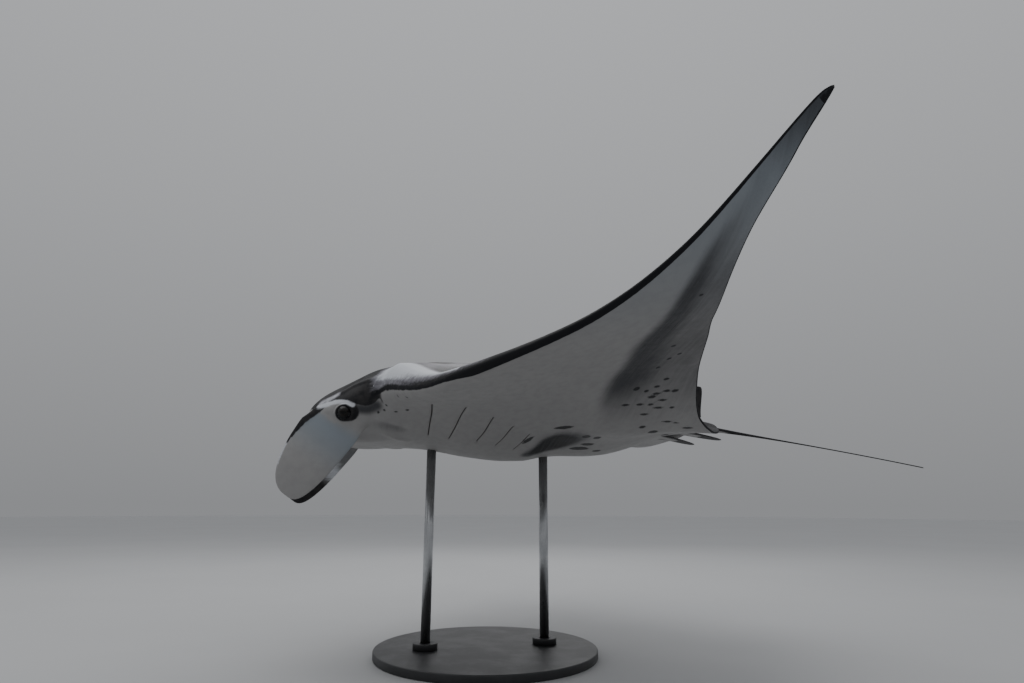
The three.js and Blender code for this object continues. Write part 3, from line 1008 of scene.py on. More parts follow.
@dataclass(frozen=True)
class Tail:
    """The whip of a tail, from the body to its tip."""

    plan: BodyPlan
    start: Three = (0.0, 1.54, -0.002)
    end: Three = (-0.07, 2.905, -0.168)
    swing: Three = (0.012, 0.0, 0.014)
    radius: float = 0.024
    tip_radius: float = 0.0025
    taper: float = 6.0
    blunt: float = 0.003
    least: float = 0.02
    steps: int = 150
    around: int = 20

    def build(self) -> Surface:
        """Makes the tail.

        Returns:
            Its closed surface.
        """
        start, end = np.array(self.start), np.array(self.end)
        middle = (start + end) / 2 + np.array(self.swing)
        turn = turns(self.around)
        lift = np.array((0, -self.plan.jaw_to_stand, self.plan.fin_level))
        rings = []
        for share in np.linspace(0, 1, self.steps + 1):
            centre = (1 - share) ** 2 * start + 2 * share * (1 - share) * middle + share**2 * end
            radius = mix(self.tip_radius, self.radius, (1 - share) ** self.taper)
            radius *= math.sqrt(max(1 - max(share - (1 - self.blunt), 0) / self.blunt, self.least))
            ring = np.stack((np.cos(turn) * radius, np.zeros_like(turn), np.sin(turn) * radius), axis=1)
            rings.append(ring + centre + lift)
        return loft(rings)


@dataclass(frozen=True)
class MouthPocket:
    """The hollow of the mouth, with the arches of the gills as soft ribs towards its back."""

    plan: BodyPlan
    half_width: float = 0.245
    half_height: float = 0.044
    depth: float = 0.34
    level: float = -0.074
    squareness: float = 0.75
    arches: int = 5
    arch_height: float = 0.1
    arch_span: float = 0.8
    arch_ends: Pair = (0.35, 0.5)
    steps: int = 110
    around: int = 120

    def build(self) -> Surface:
        """Makes the hollow as a closed surface.

        Returns:
            The surface that the mouth is cut with.
        """
        rings = []
        turn = turns(self.around)
        for i in range(1, self.steps):
            tilt = math.pi * i / self.steps
            inward = -math.cos(tilt)
            wave = math.cos(2 * math.pi * self.arches * inward / self.arch_span)
            rib = self.arch_height * max(wave, 0) * float(ramp(inward, *self.arch_ends))
            size = math.sin(tilt) * (1 - rib)
            x = np.cos(turn) * math.sin(tilt)
            x = np.sign(x) * np.abs(x) ** self.squareness
            z = np.sin(turn) * size
            ring = np.stack((x * self.half_width, np.full_like(x, inward * self.depth), z * self.half_height),
                            axis=1)
            rings.append(ring + np.array((0, -self.plan.jaw_to_stand, self.plan.fin_level + self.level)))
        return loft(rings)


# ---------------------------------------------------------------- shaping the joined skin
def join(base: bpy.types.Object, added: Sequence[bpy.types.Object],
         removed: Sequence[bpy.types.Object]) -> bpy.types.Mesh:
    """Joins closed bodies into one and cuts others out of it.

    Args:
        base: the body to start from.
        added: bodies joined to it.
        removed: bodies cut out of it.

    Returns:
        A new mesh. The objects given are taken away.
    """
    for operand, operation in [*((o, "UNION") for o in added), *((o, "DIFFERENCE") for o in removed)]:
        step = base.modifiers.new(operand.name, "BOOLEAN")
        step.object = operand
        step.operation = operation
        step.solver = "MANIFOLD"
    evaluated = base.evaluated_get(bpy.context.evaluated_depsgraph_get())
    mesh = bpy.data.meshes.new_from_object(evaluated)
    for used in (base, *added, *removed):
        old = used.data
        bpy.data.objects.remove(used)
        bpy.data.meshes.remove(old)
    return mesh


def tree_of(places: Array) -> KDTree:
    """Makes a search tree.

    Args:
        places: the places to find, one row each.

    Returns:
        The tree, which answers with a place's row number.
    """
    tree = KDTree(len(places))
    for i, place in enumerate(places):
        tree.insert(place, i)
    tree.balance()
    return tree


class Part(Enum):
    """Where a point of the skin came from, with the reach and rounds of smoothing at its seam."""

    BODY = (0, 0.0, 0)
    LOBE = (1, 0.045, 90)
    SMALL_FIN = (2, 0.018, 40)
    TAIL = (3, 0.03, 60)
    MOUTH = (4, 0.014, 30)

    @property
    def number(self) -> int:
        """Returns the number that marks the part's points."""
        return self.value[0]


@dataclass
class SkinShape:
    """The joined skin as arrays, with the steps that smooth and shape it."""

    mesh: bpy.types.Mesh
    sources: Sequence[tuple[Part, Surface]]
    seam_pull: float = 0.5
    seam_core: float = 0.25

    def __post_init__(self) -> None:
        """Reads the mesh and finds the part and the flat place of each point."""
        count = len(self.mesh.vertices)
        places = np.empty(count * 3, dtype=np.float32)
        self.mesh.vertices.foreach_get("co", places)
        self.places = places.reshape(-1, 3).astype(float)
        edges = np.empty(len(self.mesh.edges) * 2, dtype=np.int32)
        self.mesh.edges.foreach_get("vertices", edges)
        self.edges = edges.reshape(-1, 2)
        known = np.concatenate([surface.places for _, surface in self.sources])
        flats = np.concatenate([surface.flat for _, surface in self.sources])
        parts = np.concatenate([np.full(len(surface.places), part.number) for part, surface in self.sources])
        tree = tree_of(known)
        nearest = np.array([tree.find(place)[1] for place in self.places])
        self.flat = flats[nearest]
        self.part = parts[nearest]

    def relax(self, weight: Array, rounds: int) -> None:
        """Moves points towards the middle of their neighbours.

        Args:
            weight: how much each point moves, 0 to 1.
            rounds: how many times.
        """
        touched = (weight[self.edges] > 0).any(axis=1)
        a, b = self.edges[touched].T
        count = len(self.places)
        degree = np.maximum(np.bincount(a, minlength=count) + np.bincount(b, minlength=count), 1)
        for _ in range(rounds):
            total = np.stack(
                [np.bincount(a, self.places[b, k], count) + np.bincount(b, self.places[a, k], count)
                 for k in range(3)],
                axis=1,
            )
            self.places += weight[:, None] * (total / degree[:, None] - self.places)

    def soften_seams(self) -> None:
        """Rounds the seams where the parts of the skin meet."""
        for part in (Part.LOBE, Part.SMALL_FIN, Part.TAIL, Part.MOUTH):
            _, reach, rounds = part.value
            ends = self.part[self.edges]
            across = (ends[:, 0] != ends[:, 1]) & (ends.max(axis=1) == part.number)
            seam = np.unique(self.edges[across])
            if not len(seam):
                log.warning("no seam found for %s", part.name)
                continue
            tree = tree_of(self.places[seam])
            gap = np.array([tree.find(place)[2] for place in self.places])
            self.relax(self.seam_pull * (1 - ramp(gap, self.seam_core * reach, reach)), rounds)
            log.info("seam of %s: %d points", part.name, len(seam))

    def normals(self) -> Array:
        """Works out which way the skin faces.

        Returns:
            The outward direction at each point.
        """
        self.mesh.vertices.foreach_set("co", self.places.astype(np.float32).ravel())
        self.mesh.update()
        normals = np.empty(len(self.places) * 3, dtype=np.float32)
        self.mesh.vertices.foreach_get("normal", normals)
        return normals.reshape(-1, 3).astype(float)

    def push(self, lift: Array) -> None:
        """Moves points along their outward direction by a lift each."""
        self.places += lift[:, None] * self.normals()

    def write(self, name: str, values: Array) -> None:
        """Stores one number for each point under a name that the finishes read."""
        attribute = self.mesh.attributes.new(name, "FLOAT", "POINT")
        attribute.data.foreach_set("value", values.astype(np.float32))


def on_stand(plan: BodyPlan, side: int, knots: Sequence[Three]) -> Array:
    """Draws a line, given from the upper jaw and the fins' level, on one side of the ray over the stand."""
    rows = np.array(knots) * (side, 1, 1) + (0, -plan.jaw_to_stand, plan.fin_level)
    return drawn(rows, POSED_STEP)


@dataclass(frozen=True)
class Swelling:
    """A soft ridge or hollow along a line, given from the midline, the jaw and the fins' level."""

    name: str
    line: tuple[Three, ...]
    reach: float
    lift: float

    def lift_at(self, plan: BodyPlan, places: Array) -> Array:
        """Works out how far it lifts places.

        Args:
            plan: the body's sizes.
            places: the places, one row each.

        Returns:
            The lift of each place, on both sides of the ray.
        """
        total = np.zeros(len(places))
        for side in SIDES:
            middle = on_stand(plan, side, self.line)
            near = np.linalg.norm(places - middle.mean(axis=0), axis=1)
            span = np.linalg.norm(middle - middle.mean(axis=0), axis=1).max() + 3 * self.reach
            some = near < span
            total[some] += self.lift * bell(distance_to(middle, places[some]), 0, self.reach)
        return total


class Tint(Enum):
    """What a marking does to the skin. The value names the number stored on the skin's points."""

    DARK = "dark"
    WHITE = "white"
    # Besides white markings, BRIGHT carries painted highlights on the lobes' edges and the spiracle fold.
    BRIGHT = "bright"
    # Besides the charcoal veil, VEIL carries painted shade on the flank and in the throat hollow.
    VEIL = "veil"


@dataclass(frozen=True)
class Mark:
    """A marking along a line, on one face of the flat ray or, with no face given, on the posed head."""

    name: str
    tint: Tint
    line: tuple[tuple[float, ...], ...]
    reach: Pair
    soft: float
    strength: float = 1.0
    face: Face | None = None

    def amount(self, plan: BodyPlan, shape: "SkinShape") -> Array:
        """Works out how strong the marking is.

        Args:
            plan: the body's sizes.
            shape: the skin.

        Returns:
            A number for each point, 0 outside the marking and the strength in its middle.
        """
        amount = np.zeros(len(shape.places))
        for side in SIDES:
            if self.face is None:
                line = on_stand(plan, side, self.line)
                some = shape.places[:, 0] * side > CLEAR
                places = shape.places[some]
            else:
                line = drawn(self.line, FLAT_STEP) * (side, 1)
                some = (shape.part == Part.BODY.number) & (shape.flat[:, 2] == self.face.value)
                some &= shape.flat[:, 0] * side >= 0
                places = shape.flat[some, :2]
            reach = np.linspace(*self.reach, len(line) - 1)
            gap = distance_to(line, places, reach)
            amount[some] = 1 - ramp(gap, 1 - self.soft, 1 + self.soft)
        return amount * self.strength


# ---------------------------------------------------------------- finishes
class Graph:
    """The nodes of one finish, and short ways to add to them."""

    def __init__(self, name: str) -> None:
        """Starts a finish with a bare shader.

        Args:
            name: the finish's name.
        """
        self.material = bpy.data.materials.new(name)
        self.material.use_nodes = True
        self.tree = self.material.node_tree
        self.shader = self.tree.nodes["Principled BSDF"]
        self.place = self.tree.nodes.new("ShaderNodeTexCoord").outputs["Object"]

    def put(self, socket: Socket, value: Socket | float | Colour) -> None:
        """Sets an input, or links it if the value is a socket.

        Args:
            socket: the input.
            value: what it is set or linked to.
        """
        if isinstance(value, Socket):
            self.tree.links.new(value, socket)
        elif isinstance(value, tuple) and len(value) == 3 and socket.type == "RGBA":
            socket.default_value = (*value, 1.0)
        else:
            socket.default_value = value

    def surface(self, **values: Socket | float | Colour) -> None:
        """Sets or links inputs of the shader.

        Args:
            values: the value of each input, named with underscores for spaces.
        """
        for name, value in values.items():
            label = name.replace("_", " ").lower()
            match = [socket for socket in self.shader.inputs if socket.name.lower() == label]
            self.put(match[0], value)

    def number(self, name: str) -> Socket:
        """Reads a number stored on the mesh.

        Args:
            name: the number's name.

        Returns:
            The number.
        """
        node = self.tree.nodes.new("ShaderNodeAttribute")
        node.attribute_name = name
        return node.outputs["Fac"]

    def stretched(self, scale: Three,
                  turn: Three = (0, 0, 0)) -> Socket:
        """Turns and stretches the place on the object.

        Args:
            scale: how far it is stretched along x, y and z.
            turn: how far it is turned about each, in radians.

        Returns:
            The place.
        """
        node = self.tree.nodes.new("ShaderNodeMapping")
        node.inputs["Rotation"].default_value = turn
        node.inputs["Scale"].default_value = scale
        self.put(node.inputs["Vector"], self.place)
        return node.outputs["Vector"]

    def along_fin(self, out_scale: float, back_scale: float) -> Socket:
        """Stretches the place on the flat ray.

        Args:
            out_scale: how far it is stretched away from the midline.
            back_scale: how far it is stretched from jaw to tail.

        Returns:
            The place.
        """
        node = self.tree.nodes.new("ShaderNodeCombineXYZ")
        self.put(node.inputs["X"], self.sum("MULTIPLY", self.number("out"), out_scale))
        self.put(node.inputs["Y"], self.sum("MULTIPLY", self.number("back"), back_scale))
        return node.outputs["Vector"]

    def noise(self, scale: float, detail: float = 2, rough: float = 0.5, warp: float = 0,
              at: Socket | None = None) -> Socket:
        """Returns cloudy noise.

        Args:
            scale: clouds per metre.
            detail: how many finer layers.
            rough: how strong the finer layers are.
            warp: how far the clouds are drawn out.
            at: the place to read, or the place on the object.

        Returns:
            The noise, about 0.5 on average.
        """
        node = self.tree.nodes.new("ShaderNodeTexNoise")
        self.put(node.inputs["Vector"], at or self.place)
        for name, value in (("Scale", scale), ("Detail", detail), ("Roughness", rough), ("Distortion", warp)):
            node.inputs[name].default_value = value
        return node.outputs["Fac"]

    def cells(self, scale: float) -> Socket:
        """Scatters cells over the object.

        Args:
            scale: cells per metre.

        Returns:
            The distance from the middle of the nearest cell.
        """
        node = self.tree.nodes.new("ShaderNodeTexVoronoi")
        node.feature = "F1"
        self.put(node.inputs["Vector"], self.place)
        node.inputs["Scale"].default_value = scale
        return node.outputs["Distance"]

    def sum(self, operation: str, a: Socket | float, b: Socket | float = 0.0) -> Socket:
        """Does one sum.

        Args:
            operation: what is done with the numbers.
            a: the first number.
            b: the second number, where the operation has one.

        Returns:
            The answer.
        """
        node = self.tree.nodes.new("ShaderNodeMath")
        node.operation = operation
        self.put(node.inputs[0], a)
        self.put(node.inputs[1], b)
        return node.outputs[0]

    def weighed(self, a: Socket, a_share: float, b: Socket, b_share: float) -> Socket:
        """Returns two numbers added, each times its share."""
        return self.sum("ADD", self.sum("MULTIPLY", a, a_share), self.sum("MULTIPLY", b, b_share))

    def length(self, a: Socket, b: Socket) -> Socket:
        """Returns the length of the long side over two short ones."""
        return self.sum("SQRT", self.sum("ADD", self.sum("MULTIPLY", a, a), self.sum("MULTIPLY", b, b)))

    def swing(self, noise: Socket, amount: Socket | float) -> Socket:
        """Returns noise taken about its average, times an amount."""
        return self.sum("MULTIPLY", self.sum("SUBTRACT", noise, 0.5), amount)

    def ramp(self, value: Socket, low: float, high: float, start: float = 0, end: float = 1) -> Socket:
        """Turns a number into a smooth rise.

        Args:
            value: the number.
            low: where the rise begins.
            high: where it ends.
            start: the answer below low.
            end: the answer above high.

        Returns:
            The answer.
        """
        node = self.tree.nodes.new("ShaderNodeMapRange")
        node.interpolation_type = "SMOOTHSTEP"
        self.put(node.inputs["Value"], value)
        for name, limit in (("From Min", low), ("From Max", high), ("To Min", start), ("To Max", end)):
            node.inputs[name].default_value = limit
        return node.outputs["Result"]

    def blend(self, share: Socket | float, under: Socket | Colour, over: Socket | Colour) -> Socket:
        """Lays one colour over another.

        Args:
            share: how much of the upper colour shows.
            under: the lower colour.
            over: the upper colour.

        Returns:
            The colour.
        """
        node = self.tree.nodes.new("ShaderNodeMix")
        node.data_type = "RGBA"
        self.put(node.inputs[0], share)
        self.put(node.inputs[6], under)
        self.put(node.inputs[7], over)
        return node.outputs[2]

    def relief(self, height: Socket, distance: float, strength: float = 1.0,
               under: Socket | None = None) -> Socket:
        """Raises the surface by a height.

        Args:
            height: the height, 0 to 1.
            distance: how high 1 is.
            strength: how much of it shows.
            under: a relief that this one lies on, if any.

        Returns:
            The normal.
        """
        node = self.tree.nodes.new("ShaderNodeBump")
        node.inputs["Strength"].default_value = strength
        node.inputs["Distance"].default_value = distance
        self.put(node.inputs["Height"], height)
        if under is not None:
            self.put(node.inputs["Normal"], under)
        return node.outputs["Normal"]


@dataclass(frozen=True)
class SkinFinish:
    """Ray skin: pale below, near black above, with shoulder bars, spots and a fine sandpaper grain."""

    pale: Colour = (0.365, 0.359, 0.354)
    pale_worn: Colour = (0.32, 0.315, 0.312)
    # Painted light: the pale colour tinted by the blue light of the water, laid on the fins' underside and
    # the tops of the lobes.
    pale_water_tint: Colour = (0.285, 0.32, 0.355)
    dark: Colour = (0.016, 0.0165, 0.019)
    dark_worn: Colour = (0.047, 0.045, 0.0455)
    white: Colour = (0.68, 0.7, 0.74)
    # Dim white for the soft edges of the white markings; on the shoulders it also stands as painted shade
    # over the front round and as a painted highlight on the hump of the back.
    white_fade_and_shade: Colour = (0.21, 0.205, 0.228)
    scratch: Colour = (0.09, 0.088, 0.09)
    veil: Colour = (0.042, 0.0435, 0.049)
    spot: Colour = (0.012, 0.0125, 0.015)
    black: Colour = (0.013, 0.0135, 0.016)
    # Painted shade inside the gill slits.
    slit: Colour = (0.02, 0.016, 0.014)
    # Painted shade deep inside the mouth.
    deep: Colour = (0.01, 0.01, 0.012)
    cloud_scale: float = 5
    mottle_scale: float = 38
    fine_scale: float = 110
    grain_scale: float = 420
    pit_scale: float = 520
    wobble_scale: float = 60
    fibre_stretch: Three = (95, 16, 95)
    fibre_turn: Three = (0.75, 0, 0.5)
    scratch_stretch: Three = (150, 11, 150)
    scratch_turn: Three = (0.1, 0.3, 0.5)
    fold_stretch: Three = (26, 9, 26)
    fold_turn: Three = (0.2, 0, 0.3)
    wash_stretch: Pair = (5, 60)
    wrinkle_stretch: Pair = (6, 75)
    mottle_shows: Four = (0.35, 0.75, 0, 0.7)
    clouds_show: Four = (0.3, 0.8, 0, 0.5)
    wash: Pair = (0.3, 0.25)
    wash_middle: float = 0.27
    veil_shows: Four = (0.0, 1.0, 0, 0.92)
    clouds_in_dark: float = 0.6
    dark_wears: Pair = (0.6, 1.1)
    scratches_show: Four = (0.68, 0.8, 0, 0.5)
    frayed_part: Pair = (0.0, 0.3)
    white_frays: float = 0.55
    bright_frays: float = 0.9
    white_starts: Pair = (0.1, 0.5)
    white_fills: Pair = (0.45, 0.95)
    bright_fills: Pair = (0.15, 0.95)
    over_wobble: float = 0.25
    over_edge: Pair = (0.25, 0.75)
    spot_wobble: float = 0.008
    spot_shows: Four = (-0.0025, 0.0025, 0, 0.88)
    band_wobble: float = 0.002
    band_edge: Pair = (-0.0007, 0.0005)
    slit_shows: Four = (0.35, 0.8, 0, 0.82)
    mouth_shade_edge: Pair = (0.25, 0.8)
    grain_relief: Pair = (0.0006, 0.45)
    fold_relief: Pair = (0.0025, 0.35)
    wrinkle_relief: Pair = (0.006, 0.5)
    rough_mix: Pair = (0.6, 0.4)
    roughness: Four = (0.3, 0.7, 0.44, 0.62)
    gloss: float = 0.14

    def frayed(self, g: Graph, name: str, strength: float) -> Socket:
        """Breaks the edge of a marking up into fine slanting streaks.

        Args:
            g: the finish's nodes.
            name: the marking's number on the mesh.
            strength: how far the streaks reach.

        Returns:
            The marking's number with streaks at its edge.
        """
        streaks = g.noise(1, 3, 0.65, at=g.stretched(self.fibre_stretch, self.fibre_turn))
        amount = g.number(name)
        return g.sum("ADD", amount, g.swing(streaks, g.ramp(amount, *self.frayed_part, 0, strength)))

    def pale_side(self, g: Graph, clouds: Socket, mottle: Socket) -> Socket:
        """Returns the colour of the underside, with its soft charcoal veil.

        Args:
            g: the finish's nodes.
            clouds: slow cloudy noise.
            mottle: finer noise.

        Returns:
            The colour.
        """
        colour = g.blend(g.ramp(mottle, *self.mottle_shows), self.pale, self.pale_worn)
        colour = g.blend(g.ramp(clouds, *self.clouds_show), colour, self.pale_worn)
        # Painted light: a blue tint of water light, out towards the fin tips and near the tops of the lobes.
        colour = g.blend(g.number("cool"), colour, self.pale_water_tint)
        streaks = g.noise(1, 3, 0.6, at=g.along_fin(*self.wash_stretch))
        wash = g.weighed(clouds, self.wash[0], streaks, self.wash[1])
        # The veil number also carries painted shade on the flank and in the throat hollow.
        edge = g.sum("ADD", g.number("veil"), g.sum("SUBTRACT", wash, self.wash_middle))
        return g.blend(g.ramp(edge, *self.veil_shows), colour, self.veil)

    def dark_side(self, g: Graph, clouds: Socket, mottle: Socket) -> Socket:
        """Returns the colour of the upper side, with its white shoulders.

        Args:
            g: the finish's nodes.
            clouds: slow cloudy noise.
            mottle: finer noise.

        Returns:
            The colour.
        """
        worn = g.sum("ADD", mottle, g.sum("MULTIPLY", clouds, self.clouds_in_dark))
        colour = g.blend(g.ramp(worn, *self.dark_wears), self.dark, self.dark_worn)
        scratch = g.noise(1, 2, 0.5, 0.5, at=g.stretched(self.scratch_stretch, self.scratch_turn))
        colour = g.blend(g.ramp(scratch, *self.scratches_show), colour, self.scratch)
        edge = self.frayed(g, "white", self.white_frays)
        # The white markings pass through a dimmer white first; on the shoulders this dim white is painted
        # shade over the front round and a painted highlight on the hump of the back.
        colour = g.blend(g.ramp(edge, *self.white_starts), colour, self.white_fade_and_shade)
        return g.blend(g.ramp(edge, *self.white_fills), colour, self.white)

    def make(self) -> bpy.types.Material:
        """Makes the finish.

        Returns:
            The material.
        """
        g = Graph("ray_skin")
        clouds = g.noise(self.cloud_scale, 4, 0.55)
        mottle = g.noise(self.mottle_scale, 4, 0.6)
        fine = g.noise(self.fine_scale, 2, 0.5)
        grain = g.noise(self.grain_scale, 2, 0.6)
        above = g.sum("ADD", g.number("dark"), g.swing(fine, self.over_wobble))
        over = g.ramp(above, *self.over_edge)
        colour = g.blend(over, self.pale_side(g, clouds, mottle), self.dark_side(g, clouds, mottle))
        # The bright number carries painted highlights as well as white markings.
        bright = self.frayed(g, "bright", self.bright_frays)
        colour = g.blend(g.ramp(bright, *self.bright_fills), colour, self.white)
        wobble = g.sum("SUBTRACT", g.noise(self.wobble_scale, 3, 0.6), 0.5)
        spot = g.sum("ADD", g.number("spot"), g.sum("MULTIPLY", wobble, self.spot_wobble))
        colour = g.blend(g.ramp(spot, *self.spot_shows), colour, self.spot)
        band = g.sum("ADD", g.number("band"), g.sum("MULTIPLY", wobble, self.band_wobble))
        colour = g.blend(g.ramp(band, *self.band_edge), colour, self.black)
        # Painted shade: the gill grooves are darkened along their line.
        colour = g.blend(g.ramp(g.number("slit"), *self.slit_shows), colour, self.slit)
        # Painted shade: the mouth darkens towards its back.
        colour = g.blend(g.ramp(g.number("deep"), *self.mouth_shade_edge), colour, self.deep)

        height = g.weighed(grain, 0.5, g.cells(self.pit_scale), 0.5)
        normal = g.relief(height, *self.grain_relief)
        folds = g.noise(1, 3, 0.6, 0.4, at=g.stretched(self.fold_stretch, self.fold_turn))
        normal = g.relief(folds, *self.fold_relief, normal)
        wrinkles = g.noise(1, 2, 0.5, 0.3, at=g.along_fin(*self.wrinkle_stretch))
        wrinkles = g.sum("MULTIPLY", wrinkles, g.number("veil"))
        normal = g.relief(wrinkles, *self.wrinkle_relief, normal)
        rough = g.weighed(mottle, self.rough_mix[0], grain, self.rough_mix[1])
        g.surface(Base_color=colour, Roughness=g.ramp(rough, *self.roughness), Normal=normal)
        g.surface(Specular_IOR_Level=self.gloss)
        return g.material


@dataclass(frozen=True)
class EyeFinish:
    """A dark wet eye: a brown iris round a low wide pupil."""

    ball: Colour = (0.006, 0.006, 0.007)
    iris: Colour = (0.006, 0.005, 0.0045)
    iris_light: Colour = (0.015, 0.011, 0.008)
    pupil: Colour = (0.001, 0.001, 0.001)
    spokes: float = 46
    spoke_wander: float = 9
    iris_edge: Pair = (0.56, 0.64)
    pupil_across: float = 0.62
    pupil_drop: float = 0.06
    pupil_up: float = 1.25
    pupil_edge: Pair = (0.25, 0.28)

    def make(self) -> bpy.types.Material:
        """Makes the finish.

        Returns:
            The material.
        """
        g = Graph("eye_wet")
        across, up = g.number("across"), g.number("up")
        radius = g.length(across, up)
        angle = g.sum("ARCTAN2", up, across)
        spokes = g.sum("SINE", g.weighed(angle, self.spokes, g.noise(160), self.spoke_wander))
        iris = g.blend(g.ramp(spokes, -0.6, 1.0, 0, 0.7), self.iris, self.iris_light)
        colour = g.blend(g.ramp(radius, *self.iris_edge), iris, self.ball)
        wide = g.sum("MULTIPLY", across, self.pupil_across)
        low = g.sum("MULTIPLY", g.sum("ADD", up, self.pupil_drop), self.pupil_up)
        colour = g.blend(g.ramp(g.length(wide, low), *self.pupil_edge, 1, 0), colour, self.pupil)
        g.surface(Base_color=colour, Roughness=g.ramp(g.noise(300), 0.3, 0.7, 0.24, 0.32), Coat_weight=0.12)
        g.surface(Coat_roughness=0.08, Specular_IOR_Level=0.2)
        return g.material


@dataclass(frozen=True)
class PaintFinish:
    """Satin powder coat on steel, with the faint pebble of baked powder."""

    colour: Colour = (0.028, 0.029, 0.031)
    colour_worn: Colour = (0.04, 0.041, 0.043)

    def make(self) -> bpy.types.Material:
        """Makes the finish.

        Returns:
            The material.
        """
        g = Graph("stand_paint")
        dust = g.noise(9, 4, 0.6)
        pebble = g.noise(900, 1, 0.4)
        colour = g.blend(g.ramp(dust, 0.35, 0.75), self.colour, self.colour_worn)
        rough = g.ramp(dust, 0.3, 0.7, 0.36, 0.5)
        g.surface(Base_color=colour, Roughness=rough, Normal=g.relief(pebble, 0.0002, 0.5))
        return g.material


@dataclass(frozen=True)
class SteelFinish:
    """Steel rod ground along its length."""

    colour: Colour = (0.55, 0.56, 0.57)
    colour_dull: Colour = (0.42, 0.43, 0.445)

    def make(self) -> bpy.types.Material:
        """Makes the finish.

        Returns:
            The material.
        """
        g = Graph("rod_steel")
        lines = g.noise(1, 3, 0.7, at=g.stretched((1400, 1400, 9)))
        smudge = g.noise(14, 3, 0.6)
        colour = g.blend(g.ramp(smudge, 0.35, 0.75), self.colour, self.colour_dull)
        rough = g.ramp(g.weighed(lines, 0.6, smudge, 0.4), 0.3, 0.7, 0.22, 0.38)
        g.surface(Base_color=colour, Roughness=rough, Normal=g.relief(lines, 0.0001, 0.4), Metallic=1.0)
        return g.material


@dataclass(frozen=True)
class FloorFinish:
    """Plain pale floor."""

    colour: Colour = (0.5, 0.505, 0.51)
    colour_low: Colour = (0.485, 0.49, 0.495)

    def make(self) -> bpy.types.Material:
        """Makes the finish.

        Returns:
            The material.
        """
        g = Graph("floor_matt")
        colour = g.blend(g.ramp(g.noise(0.7, 3), 0.3, 0.7), self.colour, self.colour_low)
        rough = g.ramp(g.noise(3, 2), 0.3, 0.7, 0.75, 0.85)
        g.surface(Base_color=colour, Roughness=rough, Specular_IOR_Level=0.2)
        return g.material


# ---------------------------------------------------------------- pieces
def settle(piece: bpy.types.Object, material: bpy.types.Material, slot: str, *nodes: str) -> None:
    """Dresses a piece and ties it to the frame.

    Args:
        piece: the piece.
        material: its finish.
        slot: the name of a material slot; not used.
        nodes: the frame's nodes that it stands for.
    """
    piece.data.materials.clear()
    piece.data.materials.append(material)
    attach(piece, BODY)
    if nodes:
        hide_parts(*nodes)
    log.info("%s: %d faces", piece.name, len(piece.data.polygons))


@dataclass
class Eye:
    """One eye: a ball with a low bulge in front, sunk in the side of the head."""

    side_name: str
    side: int
    forward: float = -0.22
    downward: float = -0.05
    bulge: float = 0.0016
    iris_share: float = 0.66
    steps: int = 48
    around: int = 72

    def __post_init__(self) -> None:
        """Reads its place and radius from the frame."""
        low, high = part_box(f"eye_{self.side_name}")
        self.centre = np.array((low + high) / 2)
        self.radius = float(high.z - low.z) / 2
        axis = np.array((self.side, self.forward, self.downward))
        self.axis = axis / np.linalg.norm(axis)

    def build(self, material: bpy.types.Material) -> None:
        """Makes the eye and dresses it.

        Args:
            material: its finish.
        """
        up = np.array((0, 0, 1.0)) - self.axis * self.axis[2]
        up /= np.linalg.norm(up)
        across = np.cross(up, self.axis)
        rings, flats = [], []
        turn = turns(self.around)
        for i in range(1, self.steps):
            tilt = math.pi * i / self.steps
            wide = math.sin(tilt)
            deep = math.cos(tilt)
            lens = self.bulge * max(0.0, 1 - (wide / self.iris_share) ** 2) if deep > 0 else 0.0
            ring = np.outer(np.cos(turn), across) + np.outer(np.sin(turn), up)
            rings.append(self.centre + ring * wide * self.radius + self.axis * (deep * self.radius + lens))
            level = np.full_like(turn, deep)
            flats.append(np.stack((np.cos(turn) * wide, np.sin(turn) * wide, level), axis=1))
        surface = loft(rings, flats)
        piece = surface.to_object(f"eyeball_{self.side_name}")
        tree = tree_of(surface.places)
        nearest = [tree.find(v.co)[1] for v in piece.data.vertices]
        for name, column in (("across", 0), ("up", 1)):
            attribute = piece.data.attributes.new(name, "FLOAT", "POINT")
            attribute.data.foreach_set("value", surface.flat[nearest, column].astype(np.float32))
        settle(piece, material, "eye", f"eye_{self.side_name}")


